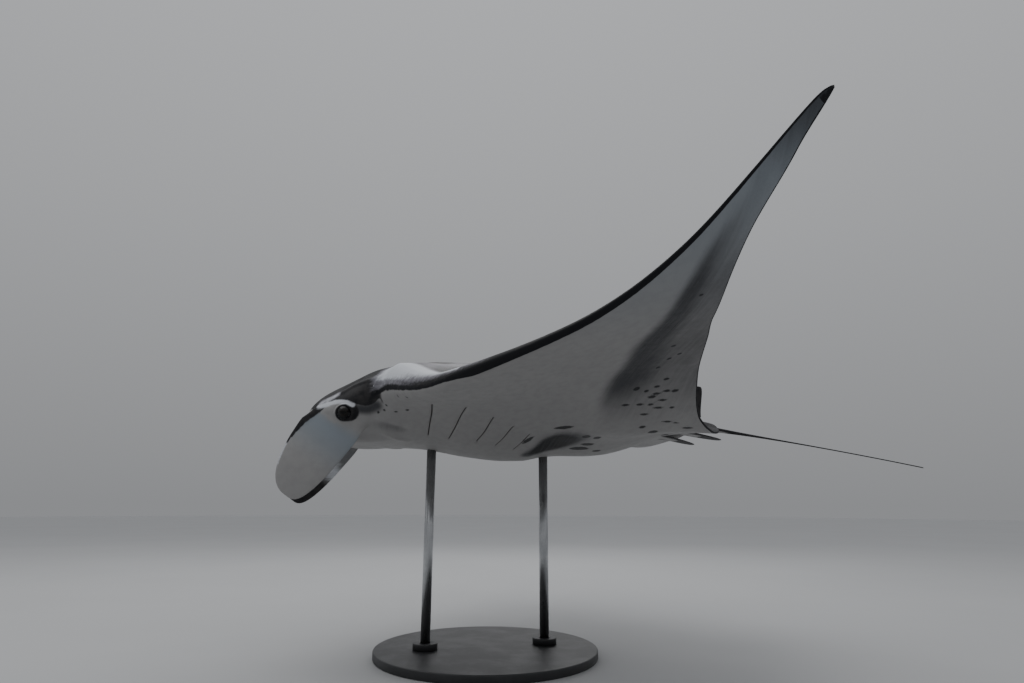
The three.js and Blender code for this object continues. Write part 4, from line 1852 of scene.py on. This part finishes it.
@dataclass(frozen=True)
class LobeTones:
    """Where the tones of a head lobe begin and end: along it, across it and in from its front edge."""

    outer: Pair = (-0.3, 0.1)
    inner_dark: Pair = (0.17, 0.3)
    # Painted light: a blue tint of water light near the top of the lobe, strongest on its outer face.
    cool: Pair = (0.9, 0.7)
    cool_rise: Pair = (0.03, 0.09)
    cool_fall: Pair = (0.09, 0.24)
    edge_veil: float = 0.5
    edge_width: float = 0.03
    edge_fall: Pair = (0.1, 0.2)
    inner_veil: Pair = (0.75, 0.35)
    inner_ends: Pair = (0, 0.05)
    # Painted highlight: a bright line along the front edge of the lobe.
    rim: float = 0.7
    rim_highlight_rise: Pair = (0.19, 0.23)
    rim_highlight_fall: Pair = (0.27, 0.32)
    rim_highlight_width: Pair = (0.003, 0.009)
    # The pale patch on the inner face: partly a white marking, partly a painted highlight.
    patch: float = 0.85
    patch_middle: float = 0.19
    patch_spread: float = 0.045
    patch_ends: Pair = (-0.01, 0.05)

    def paint(self, plan: BodyPlan, shape: SkinShape, numbers: dict[str, Array]) -> None:
        """Paints both lobes.

        Args:
            plan: the body's sizes.
            shape: the skin.
            numbers: the numbers to add to.
        """
        some = shape.part == Part.LOBE.number
        across, along = shape.flat[some, 0], shape.flat[some, 1]
        outward = shape.normals()[some, 0] * np.sign(shape.places[some, 0])
        lobe = HeadLobe(plan=plan, side=1)
        gap = lobe.front_reach(along / lobe.length) + across
        outer = ramp(outward, *self.outer)
        numbers["dark"][some] = (1 - outer) * ramp(along, *self.inner_dark)
        # Painted light: the blue tint of water light near the top of the lobe.
        even, share = self.cool
        cool = mix(even, outer, share) * ramp(along, *self.cool_rise) * (1 - ramp(along, *self.cool_fall))
        numbers["cool"][some] = cool
        edge = self.edge_veil * bell(gap, 0, self.edge_width) * (1 - ramp(along, *self.edge_fall))
        inner = (1 - outer) * mix(*self.inner_veil, ramp(across, *self.inner_ends))
        numbers["veil"][some] = np.maximum(edge, inner)
        # Painted highlight along the lobe's front edge; the patch on the inner face is partly a white
        # marking, partly a painted highlight.
        rim = ramp(along, *self.rim_highlight_rise) * (1 - ramp(along, *self.rim_highlight_fall))
        rim *= 1 - ramp(gap, *self.rim_highlight_width)
        patch = (1 - outer) * bell(along, self.patch_middle, self.patch_spread)
        patch *= ramp(across, *self.patch_ends)
        numbers["bright"][some] = np.maximum(self.rim * rim, self.patch * patch)


@dataclass
class Markings:
    """Where the skin is pale, dark, white, veiled or spotted, as numbers on its points."""

    plan: BodyPlan
    body: BodyMesh
    marks: Sequence[Mark]
    spots: dict[int, list[Spot]]
    band_width: Curve = Curve(
        ((0.34, 0.001), (0.7, 0.0014), (0.76, 0.006), (0.81, 0.015), (0.95, 0.013), (1.1, 0.014),
         (1.36, 0.009), (1.6, 0.005), (1.7, 0.004))
    )
    top_band: float = 0.0001
    front_start: float = 0.345
    rear_start: float = 0.2
    rear_band: float = 0.0045
    tip_band: float = 1.745
    shoulder_start: float = 0.33
    shoulder_edge: Four = (0.02, 0.08, 0.3, 0.5)
    # Painted shade: how far the white of the shoulder is dimmed over the round of the front edge.
    shoulder_shade: float = 0.55
    tip_shade: Pair = (1.45, 1.72)
    tip_strength: float = 0.8
    # Where the painted blue tint of water light rises, out along the fins' underside.
    water_tint_ends: Pair = (0.9, 1.7)
    veil_front: Curve = Curve((
        (0.45, 0.965), (0.536, 0.938), (0.741, 0.938), (0.9, 0.918), (1.083, 0.928), (1.31, 0.925),
        (1.5, 0.97),
    ))
    veil_rise: float = 0.075
    veil_inner: Pair = (0.32, 0.68)
    veil_outer: Pair = (1.2, 1.5)
    veil_thins: float = 0.7
    veil_narrows: float = 0.45
    narrow_ends: Pair = (0.6, 1.3)
    veil_sharpens: float = 0.7
    sharp_ends: Pair = (0.8, 1.3)
    veil_fades: float = 0.55
    fade_ends: Pair = (0.09, 0.24)
    head_width: Pair = (0.345, 0.385)
    head_length: Pair = (0.235, 0.29)
    flank_soft: Pair = (0.004, 0.009)
    flank_ends: Pair = (0.15, 0.2)
    # Painted shade: where the small fins darken towards their rims.
    margin_shade: Pair = (0.5, 0.6)
    fin_turn: Pair = (-0.3, 0.2)
    tail_turn: Pair = (0.2, 0.6)
    tail_pale: Pair = (1.74, 1.84)
    # How far back the painted shade inside the mouth begins and is full.
    mouth_shade_ends: Pair = (0.12, 0.3)
    lobe_tones: LobeTones = LobeTones()
    flank_level: Curve = Curve(
        ((0, -0.026), (0.05, -0.018), (0.1, -0.004), (0.13, -0.008), (0.16, -0.014), (0.2, -0.021),
         (0.225, -0.014), (0.24, 0.0))
    )
    wedge: tuple[float, ...] = (0.034, 0.032, 0.028, 0.024, 0.019, 0.014, 0.008, 0.003)
    wedge_along: Pair = (0.03, 0.235)
    wedge_edge: Pair = (0.8, 1.25)

    def bands(self, shape: SkinShape) -> tuple[Array, Array]:
        """Works out the black lines along the edges of the fins.

        Args:
            shape: the skin.

        Returns:
            How far inside a line each point is, below 0 outside, and how far it is from the front edge.
        """
        out, back = np.abs(shape.flat[:, 0]), shape.flat[:, 1]
        line = np.stack((out, back), axis=1)
        on_body = shape.part == Part.BODY.number
        front_gap = np.where(on_body, distance_to(self.body.front_line, line), 1)
        rear_gap = np.where(on_body, distance_to(self.body.rear_line, line), 1)
        width = np.where(shape.flat[:, 2] > 0, self.top_band, self.band_width(out))
        front = np.where(out < self.front_start, -1, width - front_gap)
        rear = np.where(out > self.rear_start, self.rear_band - rear_gap, -1)
        tip = np.where(on_body, out - self.tip_band, -1)
        return np.where(on_body, np.maximum(np.maximum(front, rear), tip), -1), front_gap

    def veil_amount(self, out: Array, back: Array) -> Array:
        """Works out the charcoal veil over the rear of the fins' underside.

        Args:
            out: distances from the midline, never negative.
            back: distances behind the upper jaw.

        Returns:
            How strong the veil is at each place.
        """
        behind = back - self.veil_front(out)
        narrowing = mix(1, self.veil_narrows, ramp(out, *self.narrow_ends))
        rise = ramp(behind, 0, self.veil_rise * mix(1, self.veil_sharpens, ramp(out, *self.sharp_ends)))
        fall = mix(1, self.veil_fades, ramp(behind / narrowing, *self.fade_ends))
        ends = ramp(out, *self.veil_inner) * (1 - self.veil_thins * ramp(out, *self.veil_outer))
        return np.maximum(rise * fall * ends, self.tip_strength * ramp(out, *self.tip_shade))

    def wedge_amount(self, shape: SkinShape) -> Array:
        """Works out the black wedge on the front edge of the lobes.

        Args:
            shape: the skin.

        Returns:
            How strong the wedge is at each point.
        """
        amount = np.zeros(len(shape.places))
        for side in SIDES:
            lobe = HeadLobe.hung(self.plan, side)
            along = np.linspace(*self.wedge_along, len(self.wedge) + 1)
            edge = [lobe.sheet(at, -lobe.front_reach(np.array([at / lobe.length])))[0] for at in along]
            some = shape.places[:, 0] * side > CLEAR
            gap = distance_to(np.array(edge), shape.places[some], np.array(self.wedge))
            amount[some] = 1 - ramp(gap, *self.wedge_edge)
        return amount

    def dark_amount(self, shape: SkinShape) -> Array:
        """Works out where the skin has the dark colour of the upper side.

        Args:
            shape: the skin.

        Returns:
            How dark each point is.
        """
        out, back, face = np.abs(shape.flat[:, 0]), shape.flat[:, 1], shape.flat[:, 2]
        height = shape.places[:, 2] - self.plan.fin_level
        behind = shape.places[:, 1] + self.plan.jaw_to_stand
        upward = shape.normals()[:, 2]
        softness = mix(*self.flank_soft, ramp(behind, *self.flank_ends))
        by_height = ramp((height - self.flank_level(behind)) / softness, -1, 1)
        head = (1 - ramp(out, *self.head_width)) * (1 - ramp(back, *self.head_length))
        dark = np.where(shape.part == Part.BODY.number, mix(np.where(face > 0, 1, 0), by_height, head), 0)
        under = ramp(-upward, *self.tail_turn) * (1 - ramp(behind, *self.tail_pale))
        dark = np.where(shape.part == Part.TAIL.number, 1 - under, dark)
        pelvic = PelvicFin(plan=self.plan, side=1)
        edge = np.maximum(out / pelvic.half_width, back / pelvic.length)
        # Painted shade: the small fins darken towards their rims.
        small_fin = np.maximum(ramp(upward, *self.fin_turn), ramp(edge, *self.margin_shade))
        return np.where(shape.part == Part.SMALL_FIN.number, small_fin, dark)

    def paint(self, shape: SkinShape) -> None:
        """Stores the markings on the skin's points.

        Args:
            shape: the finished skin.
        """
        flat = shape.flat
        out, back, face = np.abs(flat[:, 0]), flat[:, 1], flat[:, 2]
        on_body = shape.part == Part.BODY.number
        below = on_body & (face < 0)
        numbers = {name: np.zeros(len(flat)) for name in ("white", "veil", "cool", "bright", "slit")}
        numbers["dark"] = self.dark_amount(shape)
        numbers["band"], front_gap = self.bands(shape)
        self.lobe_tones.paint(self.plan, shape, numbers)
        numbers["dark"] = np.maximum(numbers["dark"], self.wedge_amount(shape))
        numbers["veil"] = np.where(below, self.veil_amount(out, back), numbers["veil"])
        # Painted light: the blue tint of water light grows towards the fin tips on the underside.
        numbers["cool"] = np.where(below, ramp(out, *self.water_tint_ends), numbers["cool"])
        for mark in self.marks:
            amount = mark.amount(self.plan, shape)
            numbers[mark.tint.value] = np.maximum(numbers[mark.tint.value], amount)
            log.info("marking %s: %d points", mark.name, np.count_nonzero(amount))
        # Painted shade: the white of the shoulder is dimmed over the round of the front edge.
        rise = quarter_round(front_gap, self.plan.front_rounding(out))
        start, dull, clear, full = self.shoulder_edge
        edge = ramp(rise, start, dull) * mix(self.shoulder_shade, 1, ramp(rise, clear, full))
        numbers["white"] *= np.where(on_body & (out > self.shoulder_start), edge, 1)

        numbers["spot"] = np.full(len(flat), -1.0)
        for side, spots in self.spots.items():
            some = below & (flat[:, 0] * side > 0)
            line = flat[some, :2] * (side, 1)
            numbers["spot"][some] = np.max([spot.inside(line) for spot in spots], axis=0)
        # Painted shade: the skin darkens along the line of each gill groove.
        for groove in self.body.grooves:
            some = on_body & (face == groove.face.value)
            share = groove.share(np.stack((out[some], back[some]), axis=1))
            numbers["slit"][some] = np.maximum(numbers["slit"][some], share)
            log.info("groove %s laid", groove.name)
        behind = shape.places[:, 1] + self.plan.jaw_to_stand
        # Painted shade: the mouth darkens towards its back.
        numbers["deep"] = np.where(shape.part == Part.MOUTH.number, ramp(behind, *self.mouth_shade_ends), 0)
        numbers["out"], numbers["back"] = flat[:, 0], back
        for name, values in numbers.items():
            shape.write(name, values)


@dataclass
class Skin:
    """The whole skin of the ray, one surface from the lips to the tip of the tail."""

    plan: BodyPlan
    grooves: Sequence[Groove]
    swellings: Sequence[Swelling]
    marks: Sequence[Mark]
    spots: Sequence[Spot]
    lid_reach: float = 0.007
    lid_lift: float = 0.005
    lid_start: float = 0.005
    socket: float = 0.016
    opening: float = 0.78
    fold_depth: float = 0.0016
    fold_width: float = 0.003
    fold_start: float = 0.016
    rim: Pair = (-0.005, 0.001)
    eye_area: Pair = (0.05, 0.07)
    eye_wide: float = 0.9
    eye_high: float = 1.12

    def shape_eyes(self, shape: SkinShape, eyes: Sequence[Eye]) -> None:
        """Sinks the skin under each eye and raises the lids round it.

        Args:
            shape: the skin.
            eyes: the eyes.
        """
        for eye in eyes:
            offset = shape.places - eye.centre
            deep = offset @ eye.axis
            flat = offset - deep[:, None] * eye.axis
            gap = np.hypot(np.hypot(flat[:, 0], flat[:, 1]) * self.eye_wide, flat[:, 2] * self.eye_high)
            near = (np.abs(deep) < self.eye_area[0]) & (gap < self.eye_area[1])
            opening = eye.radius * self.opening
            sink = -self.socket * (1 - ramp(gap, opening + self.rim[0], opening + self.rim[1]))
            lid = self.lid_lift * bell(gap, opening + self.lid_start, self.lid_reach)
            fold = -self.fold_depth * bell(gap, opening + self.fold_start, self.fold_width) * (flat[:, 2] > 0)
            shape.push(np.where(near, sink + lid + fold, 0))

    def build(self, material: bpy.types.Material, eyes: Sequence[Eye]) -> None:
        """Makes the skin and dresses it.

        Args:
            material: its finish.
            eyes: the eyes, whose lids it forms.
        """
        chance = np.random.default_rng(SEED)
        spots = {1: list(self.spots), -1: [spot.varied(chance) for spot in self.spots]}
        body = BodyMesh(self.plan, self.grooves, spots[1] + spots[-1])
        places, polygons, flat = body.build()
        surfaces = [(Part.BODY, Surface(places, polygons, flat))]
        for side in SIDES:
            surfaces.append((Part.LOBE, HeadLobe.hung(self.plan, side).build()))
            surfaces.append((Part.SMALL_FIN, PelvicFin(plan=self.plan, side=side).build()))
        surfaces.append((Part.SMALL_FIN, DorsalFin(plan=self.plan).build()))
        surfaces.append((Part.TAIL, Tail(self.plan).build()))
        surfaces.append((Part.MOUTH, MouthPocket(self.plan).build()))
        objects = [
            surface.to_object(f"{part.name.lower()}_{i}") for i, (part, surface) in enumerate(surfaces)
        ]
        mesh = join(objects[0], objects[1:-1], objects[-1:])
        log.info("joined: %d points, %d faces", len(mesh.vertices), len(mesh.polygons))
        shape = SkinShape(mesh, surfaces)
        shape.soften_seams()
        for swelling in self.swellings:
            shape.push(swelling.lift_at(self.plan, shape.places))
            log.info("swelling %s raised", swelling.name)
        self.shape_eyes(shape, eyes)
        Markings(self.plan, body, self.marks, spots).paint(shape)
        mesh.name = "ray_skin"
        mesh.shade_smooth()
        piece = placed("ray_skin", mesh)
        flesh = [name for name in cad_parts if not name.startswith(("stand_", "eye_"))]
        settle(piece, material, "skin", *flesh)


def level_rings(centre: Pair, profile: Sequence[Pair],
                around: int) -> list[Array]:
    """Lays a level ring of points for each radius and height of a profile.

    Args:
        centre: where the axis stands on the floor.
        profile: radius and height of each ring.
        around: points round each ring.

    Returns:
        The rings, one row of x, y and z for each point.
    """
    turn = turns(around)
    return [
        np.stack((centre[0] + r * np.cos(turn), centre[1] + r * np.sin(turn), np.full_like(turn, h)), axis=1)
        for r, h in profile
    ]


@dataclass(frozen=True)
class Stand:
    """The display stand: a bevelled round base, two rods and the collars that hold them."""

    edge: float = 0.004
    foot_inset: float = 0.012
    top_inset: float = 0.03
    top_middle: float = 0.05
    around: int = 128
    rod_around: int = 48
    into_body: float = 0.012
    collar_around: int = 64
    collar_gap: float = 0.0004
    collar_edge: float = 0.003
    collar_bevel: float = 0.002
    edge_steps: int = 7

    def soft_edge(self, radius: float, height: float, edge: float) -> list[Pair]:
        """Returns the profile of a rounded upper edge."""
        turn = np.linspace(0, math.pi / 2, self.edge_steps)
        return [(radius - edge * (1 - math.cos(t)), height - edge * (1 - math.sin(t))) for t in turn]

    def base(self) -> bpy.types.Object:
        """Makes the round base.

        Returns:
            The piece.
        """
        low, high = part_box("stand_base")
        radius, floor, top = float(high.x), float(low.z), float(high.z)
        profile = [(radius - self.foot_inset, floor), (radius - self.edge, floor)]
        profile += [(radius, floor + self.edge)]
        profile += self.soft_edge(radius, top, self.edge)
        profile += [(radius - self.top_inset, top), (self.top_middle, top)]
        return loft(level_rings((0, 0), profile, self.around)).to_object("base_plate")

    def collar(self, name: str, node: str, centre: Pair,
               rod_radius: float) -> bpy.types.Object:
        """Makes the ring round the foot of a rod.

        Args:
            name: the piece's name.
            node: the frame's node that it stands for.
            centre: where the rod stands.
            rod_radius: the rod's radius.

        Returns:
            The piece.
        """
        low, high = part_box(node)
        outer, inner = float(high.x - low.x) / 2, rod_radius + self.collar_gap
        floor, top, bevel = float(low.z), float(high.z), self.collar_bevel
        profile = [(inner, floor), (outer, floor), *self.soft_edge(outer, top, self.collar_edge)]
        profile += [(inner + bevel, top), (inner, top - bevel)]
        count, total = self.collar_around, len(profile)
        polygons = []
        for r in range(total):
            over = ((r + 1) % total) * count
            for i in range(count):
                follow = (i + 1) % count
                polygons.append((r * count + i, r * count + follow, over + follow, over + i))
        places = np.concatenate(level_rings(centre, profile, count))
        return Surface(places, polygons, np.zeros_like(places)).to_object(name)

    def build(self, paint: bpy.types.Material, steel: bpy.types.Material) -> None:
        """Makes the stand and dresses it.

        Args:
            paint: the finish of the base and the collars.
            steel: the finish of the rods.
        """
        settle(self.base(), paint, "stand_paint", "stand_base")
        for place in ("front", "rear"):
            low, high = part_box(f"stand_rod_{place}")
            centre = ((low.x + high.x) / 2, (low.y + high.y) / 2)
            radius = float(high.x - low.x) / 2
            profile = [(radius, float(low.z)), (radius, float(high.z) + self.into_body)]
            rod = loft(level_rings(centre, profile, self.rod_around)).to_object(f"rod_{place}")
            settle(rod, steel, "rod_steel", f"stand_rod_{place}")
            node = f"stand_collar_{place}"
            settle(self.collar(f"collar_{place}", node, centre, radius), paint, "stand_paint", node)


@dataclass(frozen=True)
class Lamp:
    """One soft square light: where it hangs, what it points at, its side in metres and its watts."""

    name: str
    place: Three
    aim: Three
    size: float
    power: float

    def hang(self) -> None:
        """Puts the light into the scene."""
        data = bpy.data.lights.new(self.name, "AREA")
        data.size = self.size
        data.energy = self.power
        lamp = placed(self.name, data)
        lamp.location = self.place
        lamp.rotation_euler = (Vector(self.aim) - Vector(self.place)).to_track_quat("-Z", "Y").to_euler()


@dataclass(frozen=True)
class Studio:
    """The pale floor, the soft lights and the camera."""

    floor_radius: float = 30.0
    floor_sides: int = 96
    camera_place: Three = (2.59, -0.529, 0.5535)
    camera_pitch: float = 14.15
    camera_turn: float = 76.41
    camera_roll: float = 0.2
    lens: float = 22.64
    sensor_width: float = 36
    sky_low: Colour = (0.27, 0.275, 0.285)
    sky_high: Colour = (0.6, 0.61, 0.63)
    lamps: tuple[Lamp, ...] = (
        Lamp("key", (-1.2, -2.6, 7.0), (0, 0.1, 0.9), 6.0, 150),
        Lamp("rim", (-4.0, 1.5, 4.2), (0, 0.3, 1.0), 3.0, 60),
    )

    def lay_floor(self) -> None:
        """Lays the floor."""
        mesh = bpy.data.meshes.new("floor")
        work = bmesh.new()
        bmesh.ops.create_circle(work, cap_ends=True, segments=self.floor_sides, radius=self.floor_radius)
        work.to_mesh(mesh)
        work.free()
        floor = placed("floor", mesh)
        mesh.materials.append(FloorFinish().make())

    def light_sky(self) -> None:
        """Fills the room with soft light, brighter from above."""
        world = bpy.data.worlds.new("studio")
        bpy.context.scene.world = world
        world.use_nodes = True
        tree = world.node_tree
        way = tree.nodes.new("ShaderNodeTexCoord").outputs["Generated"]
        parts = tree.nodes.new("ShaderNodeSeparateXYZ")
        tree.links.new(way, parts.inputs["Vector"])
        rise = tree.nodes.new("ShaderNodeValToRGB")
        rise.color_ramp.elements[0].color = (*self.sky_low, 1)
        rise.color_ramp.elements[1].color = (*self.sky_high, 1)
        tree.links.new(parts.outputs["Z"], rise.inputs["Fac"])
        tree.links.new(rise.outputs["Color"], tree.nodes["Background"].inputs["Color"])

    def set_camera(self) -> None:
        """Sets the camera up."""
        camera = placed("camera", bpy.data.cameras.new("camera"))
        camera.data.lens = self.lens
        camera.data.sensor_width = self.sensor_width
        camera.location = self.camera_place
        camera.rotation_mode = "XYZ"
        turn = Matrix.Rotation(math.radians(self.camera_turn), 3, "Z")
        pitch = Matrix.Rotation(math.radians(90 + self.camera_pitch), 3, "X")
        roll = Matrix.Rotation(math.radians(self.camera_roll), 3, "Z")
        camera.rotation_euler = (turn @ pitch @ roll).to_euler()
        bpy.context.scene.camera = camera

    def build(self) -> None:
        """Makes the floor, the lights and the camera."""
        self.lay_floor()
        self.light_sky()
        for lamp in self.lamps:
            lamp.hang()
        self.set_camera()
        log.info("studio: floor, %d lamps and camera", len(self.lamps))


GROOVES = (
    Groove("gill_1", Face.BELOW, ((0.212, 0.432), (0.312, 0.432), (0.433, 0.419)), 0.0025, 0.006),
    Groove("gill_2", Face.BELOW, ((0.202, 0.510), (0.314, 0.528), (0.445, 0.533)), 0.0025, 0.006),
    Groove("gill_3", Face.BELOW, ((0.213, 0.614), (0.293, 0.635), (0.382, 0.642)), 0.0025, 0.006),
    Groove("gill_4", Face.BELOW, ((0.197, 0.689), (0.264, 0.712), (0.339, 0.726)), 0.0025, 0.006),
    Groove("gill_5", Face.BELOW, ((0.170, 0.765), (0.230, 0.785), (0.290, 0.800)), 0.0025, 0.005),
)
SWELLINGS = (
    Swelling("brow_ridge", ((0.281, 0.118, 0.034), (0.291, 0.156, 0.056), (0.313, 0.190, 0.069),
                            (0.334, 0.229, 0.080)), 0.010, 0.005),
    Swelling("crown_hollow", ((0.254, 0.120, 0.050), (0.264, 0.156, 0.075), (0.286, 0.190, 0.091),
                              (0.307, 0.230, 0.104)), 0.014, -0.005),
    Swelling("spiracle", ((0.336, 0.236, 0.086), (0.341, 0.216, 0.052), (0.348, 0.224, 0.029)), 0.004,
             -0.005),
    Swelling("spiracle_fold", ((0.338, 0.245, 0.085), (0.345, 0.226, 0.052), (0.352, 0.233, 0.031)), 0.005,
             0.003),
    Swelling("throat_ridge", ((0.328, 0.200, -0.121), (0.227, 0.291, -0.112), (0.162, 0.362, -0.125)), 0.013,
             0.007),
    Swelling("throat_hollow", ((0.318, 0.209, -0.100), (0.278, 0.277, -0.090), (0.248, 0.336, -0.099)), 0.02,
             -0.009),
)
MARKS = (
    # The brow and its streaks: partly a white marking, partly a painted highlight on the lit top of the bulge
    # over the eye.
    Mark("brow", Tint.BRIGHT, ((0.262, 0.044, -0.019), (0.281, 0.076, -0.011), (0.297, 0.104, -0.006),
                               (0.314, 0.132, -0.009), (0.326, 0.157, -0.019)), (0.011, 0.008), 0.75),
    Mark("brow_streaks", Tint.WHITE, ((0.255, 0.048, -0.006), (0.266, 0.078, 0.006), (0.270, 0.104, 0.023)),
         (0.017, 0.012), 0.85, 0.72),
    Mark("eye_patch", Tint.DARK, ((0.318, 0.129, -0.046), (0.322, 0.148, -0.046)), (0.032, 0.031), 0.3),
    # Painted shade on the side of the head behind the eye, between the black flank and the pale throat.
    Mark("flank_shade", Tint.VEIL, ((0.327, 0.170, -0.030), (0.330, 0.205, -0.034), (0.338, 0.236, -0.020)),
         (0.017, 0.02), 0.95, 0.95),
    # Painted highlight along the fold behind the spiracle.
    Mark("spiracle_fold_highlight", Tint.BRIGHT, ((0.341, 0.222, 0.050), (0.344, 0.219, 0.036), (0.349, 0.228, 0.024)),
         (0.0022, 0.0022), 0.6, 0.8),
    Mark("throat_shade", Tint.VEIL, ((0.318, 0.209, -0.100), (0.278, 0.277, -0.090), (0.248, 0.336, -0.099)),
         (0.022, 0.016), 0.9, 0.5),
    Mark("shoulder_bar", Tint.WHITE, ((0.368, 0.278), (0.41, 0.305), (0.50, 0.355), (0.60, 0.395),
                                      (0.68, 0.425), (0.75, 0.455)), (0.065, 0.012), 0.6, 1.0, Face.TOP),
    # Partly the fading white of the shoulder bar, partly a painted highlight on the hump of the back.
    Mark("shoulder_fade_and_highlight", Tint.WHITE, ((0.42, 0.38), (0.32, 0.46), (0.16, 0.56)), (0.08, 0.04), 0.8, 0.42,
         Face.TOP),
    Mark("shoulder_end", Tint.WHITE, ((0.68, 0.45), (0.76, 0.48), (0.84, 0.53)), (0.05, 0.02), 0.8, 0.4,
         Face.TOP),
    Mark("blotch_halo", Tint.VEIL, ((0.12, 0.84), (0.19, 0.91), (0.25, 0.955)), (0.03, 0.075), 0.8, 1.0,
         Face.BELOW),
    Mark("blotch_core", Tint.DARK, ((0.13, 0.85), (0.19, 0.91), (0.226, 0.938)), (0.016, 0.066), 0.75, 1.0,
         Face.BELOW),
)
SPOTS = (
    Spot(0.587, 1.093, 0.010, 0.012), Spot(0.572, 1.135, 0.007, 0.009), Spot(0.591, 1.168, 0.007, 0.011),
    Spot(0.628, 1.189, 0.007, 0.013), Spot(0.566, 1.216, 0.006, 0.013), Spot(0.565, 1.250, 0.007, 0.013),
    Spot(0.556, 1.181, 0.005, 0.015), Spot(0.541, 1.170, 0.007, 0.014), Spot(0.524, 1.218, 0.005, 0.017),
    Spot(0.505, 1.083, 0.006, 0.014), Spot(0.506, 1.138, 0.005, 0.012), Spot(0.505, 1.180, 0.006, 0.011),
    Spot(0.488, 1.218, 0.005, 0.018), Spot(0.488, 1.270, 0.005, 0.010), Spot(0.456, 1.177, 0.006, 0.016),
    Spot(0.386, 1.203, 0.008, 0.013), Spot(0.348, 1.263, 0.013, 0.019), Spot(0.417, 1.283, 0.005, 0.018),
    Spot(0.410, 1.324, 0.004, 0.011), Spot(0.379, 1.388, 0.007, 0.022), Spot(0.157, 1.406, 0.012, 0.018),
    Spot(0.360, 0.909, 0.012, 0.034, -0.38), Spot(0.246, 0.804, 0.034, 0.010, 0.44),
    Spot(0.290, 1.020, 0.021, 0.016),
    Spot(0.281, 1.066, 0.021, 0.014), Spot(0.186, 1.059, 0.013, 0.027), Spot(0.142, 1.039, 0.018, 0.041),
    Spot(0.112, 1.125, 0.013, 0.019), Spot(1.186, 1.023, 0.005, 0.007), Spot(0.808, 1.151, 0.008, 0.008),
    Spot(0.879, 1.094, 0.008, 0.008), Spot(0.778, 1.129, 0.008, 0.008), Spot(0.715, 1.119, 0.008, 0.008),
    Spot(0.357, 0.254, 0.004, 0.006), Spot(0.358, 0.272, 0.003, 0.004), Spot(0.337, 0.268, 0.003, 0.005),
    Spot(0.324, 0.248, 0.003, 0.004), Spot(0.357, 0.345, 0.005, 0.006), Spot(0.502, 0.325, 0.005, 0.006),
    Spot(0.461, 0.302, 0.004, 0.005), Spot(0.345, 0.307, 0.003, 0.005),
)


def main() -> None:
    """Builds the ray, its stand and the studio, and reports each piece."""
    logging.basicConfig(level=logging.INFO, format="%(message)s")
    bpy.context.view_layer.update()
    plan = BodyPlan()
    eyes = [Eye("left", 1), Eye("right", -1)]
    eye_finish = EyeFinish().make()
    for eye in eyes:
        eye.build(eye_finish)
    Skin(plan, GROOVES, SWELLINGS, MARKS, SPOTS).build(SkinFinish().make(), eyes)
    Stand().build(PaintFinish().make(), SteelFinish().make())
    Studio().build()


if __name__ == "__main__":
    main()
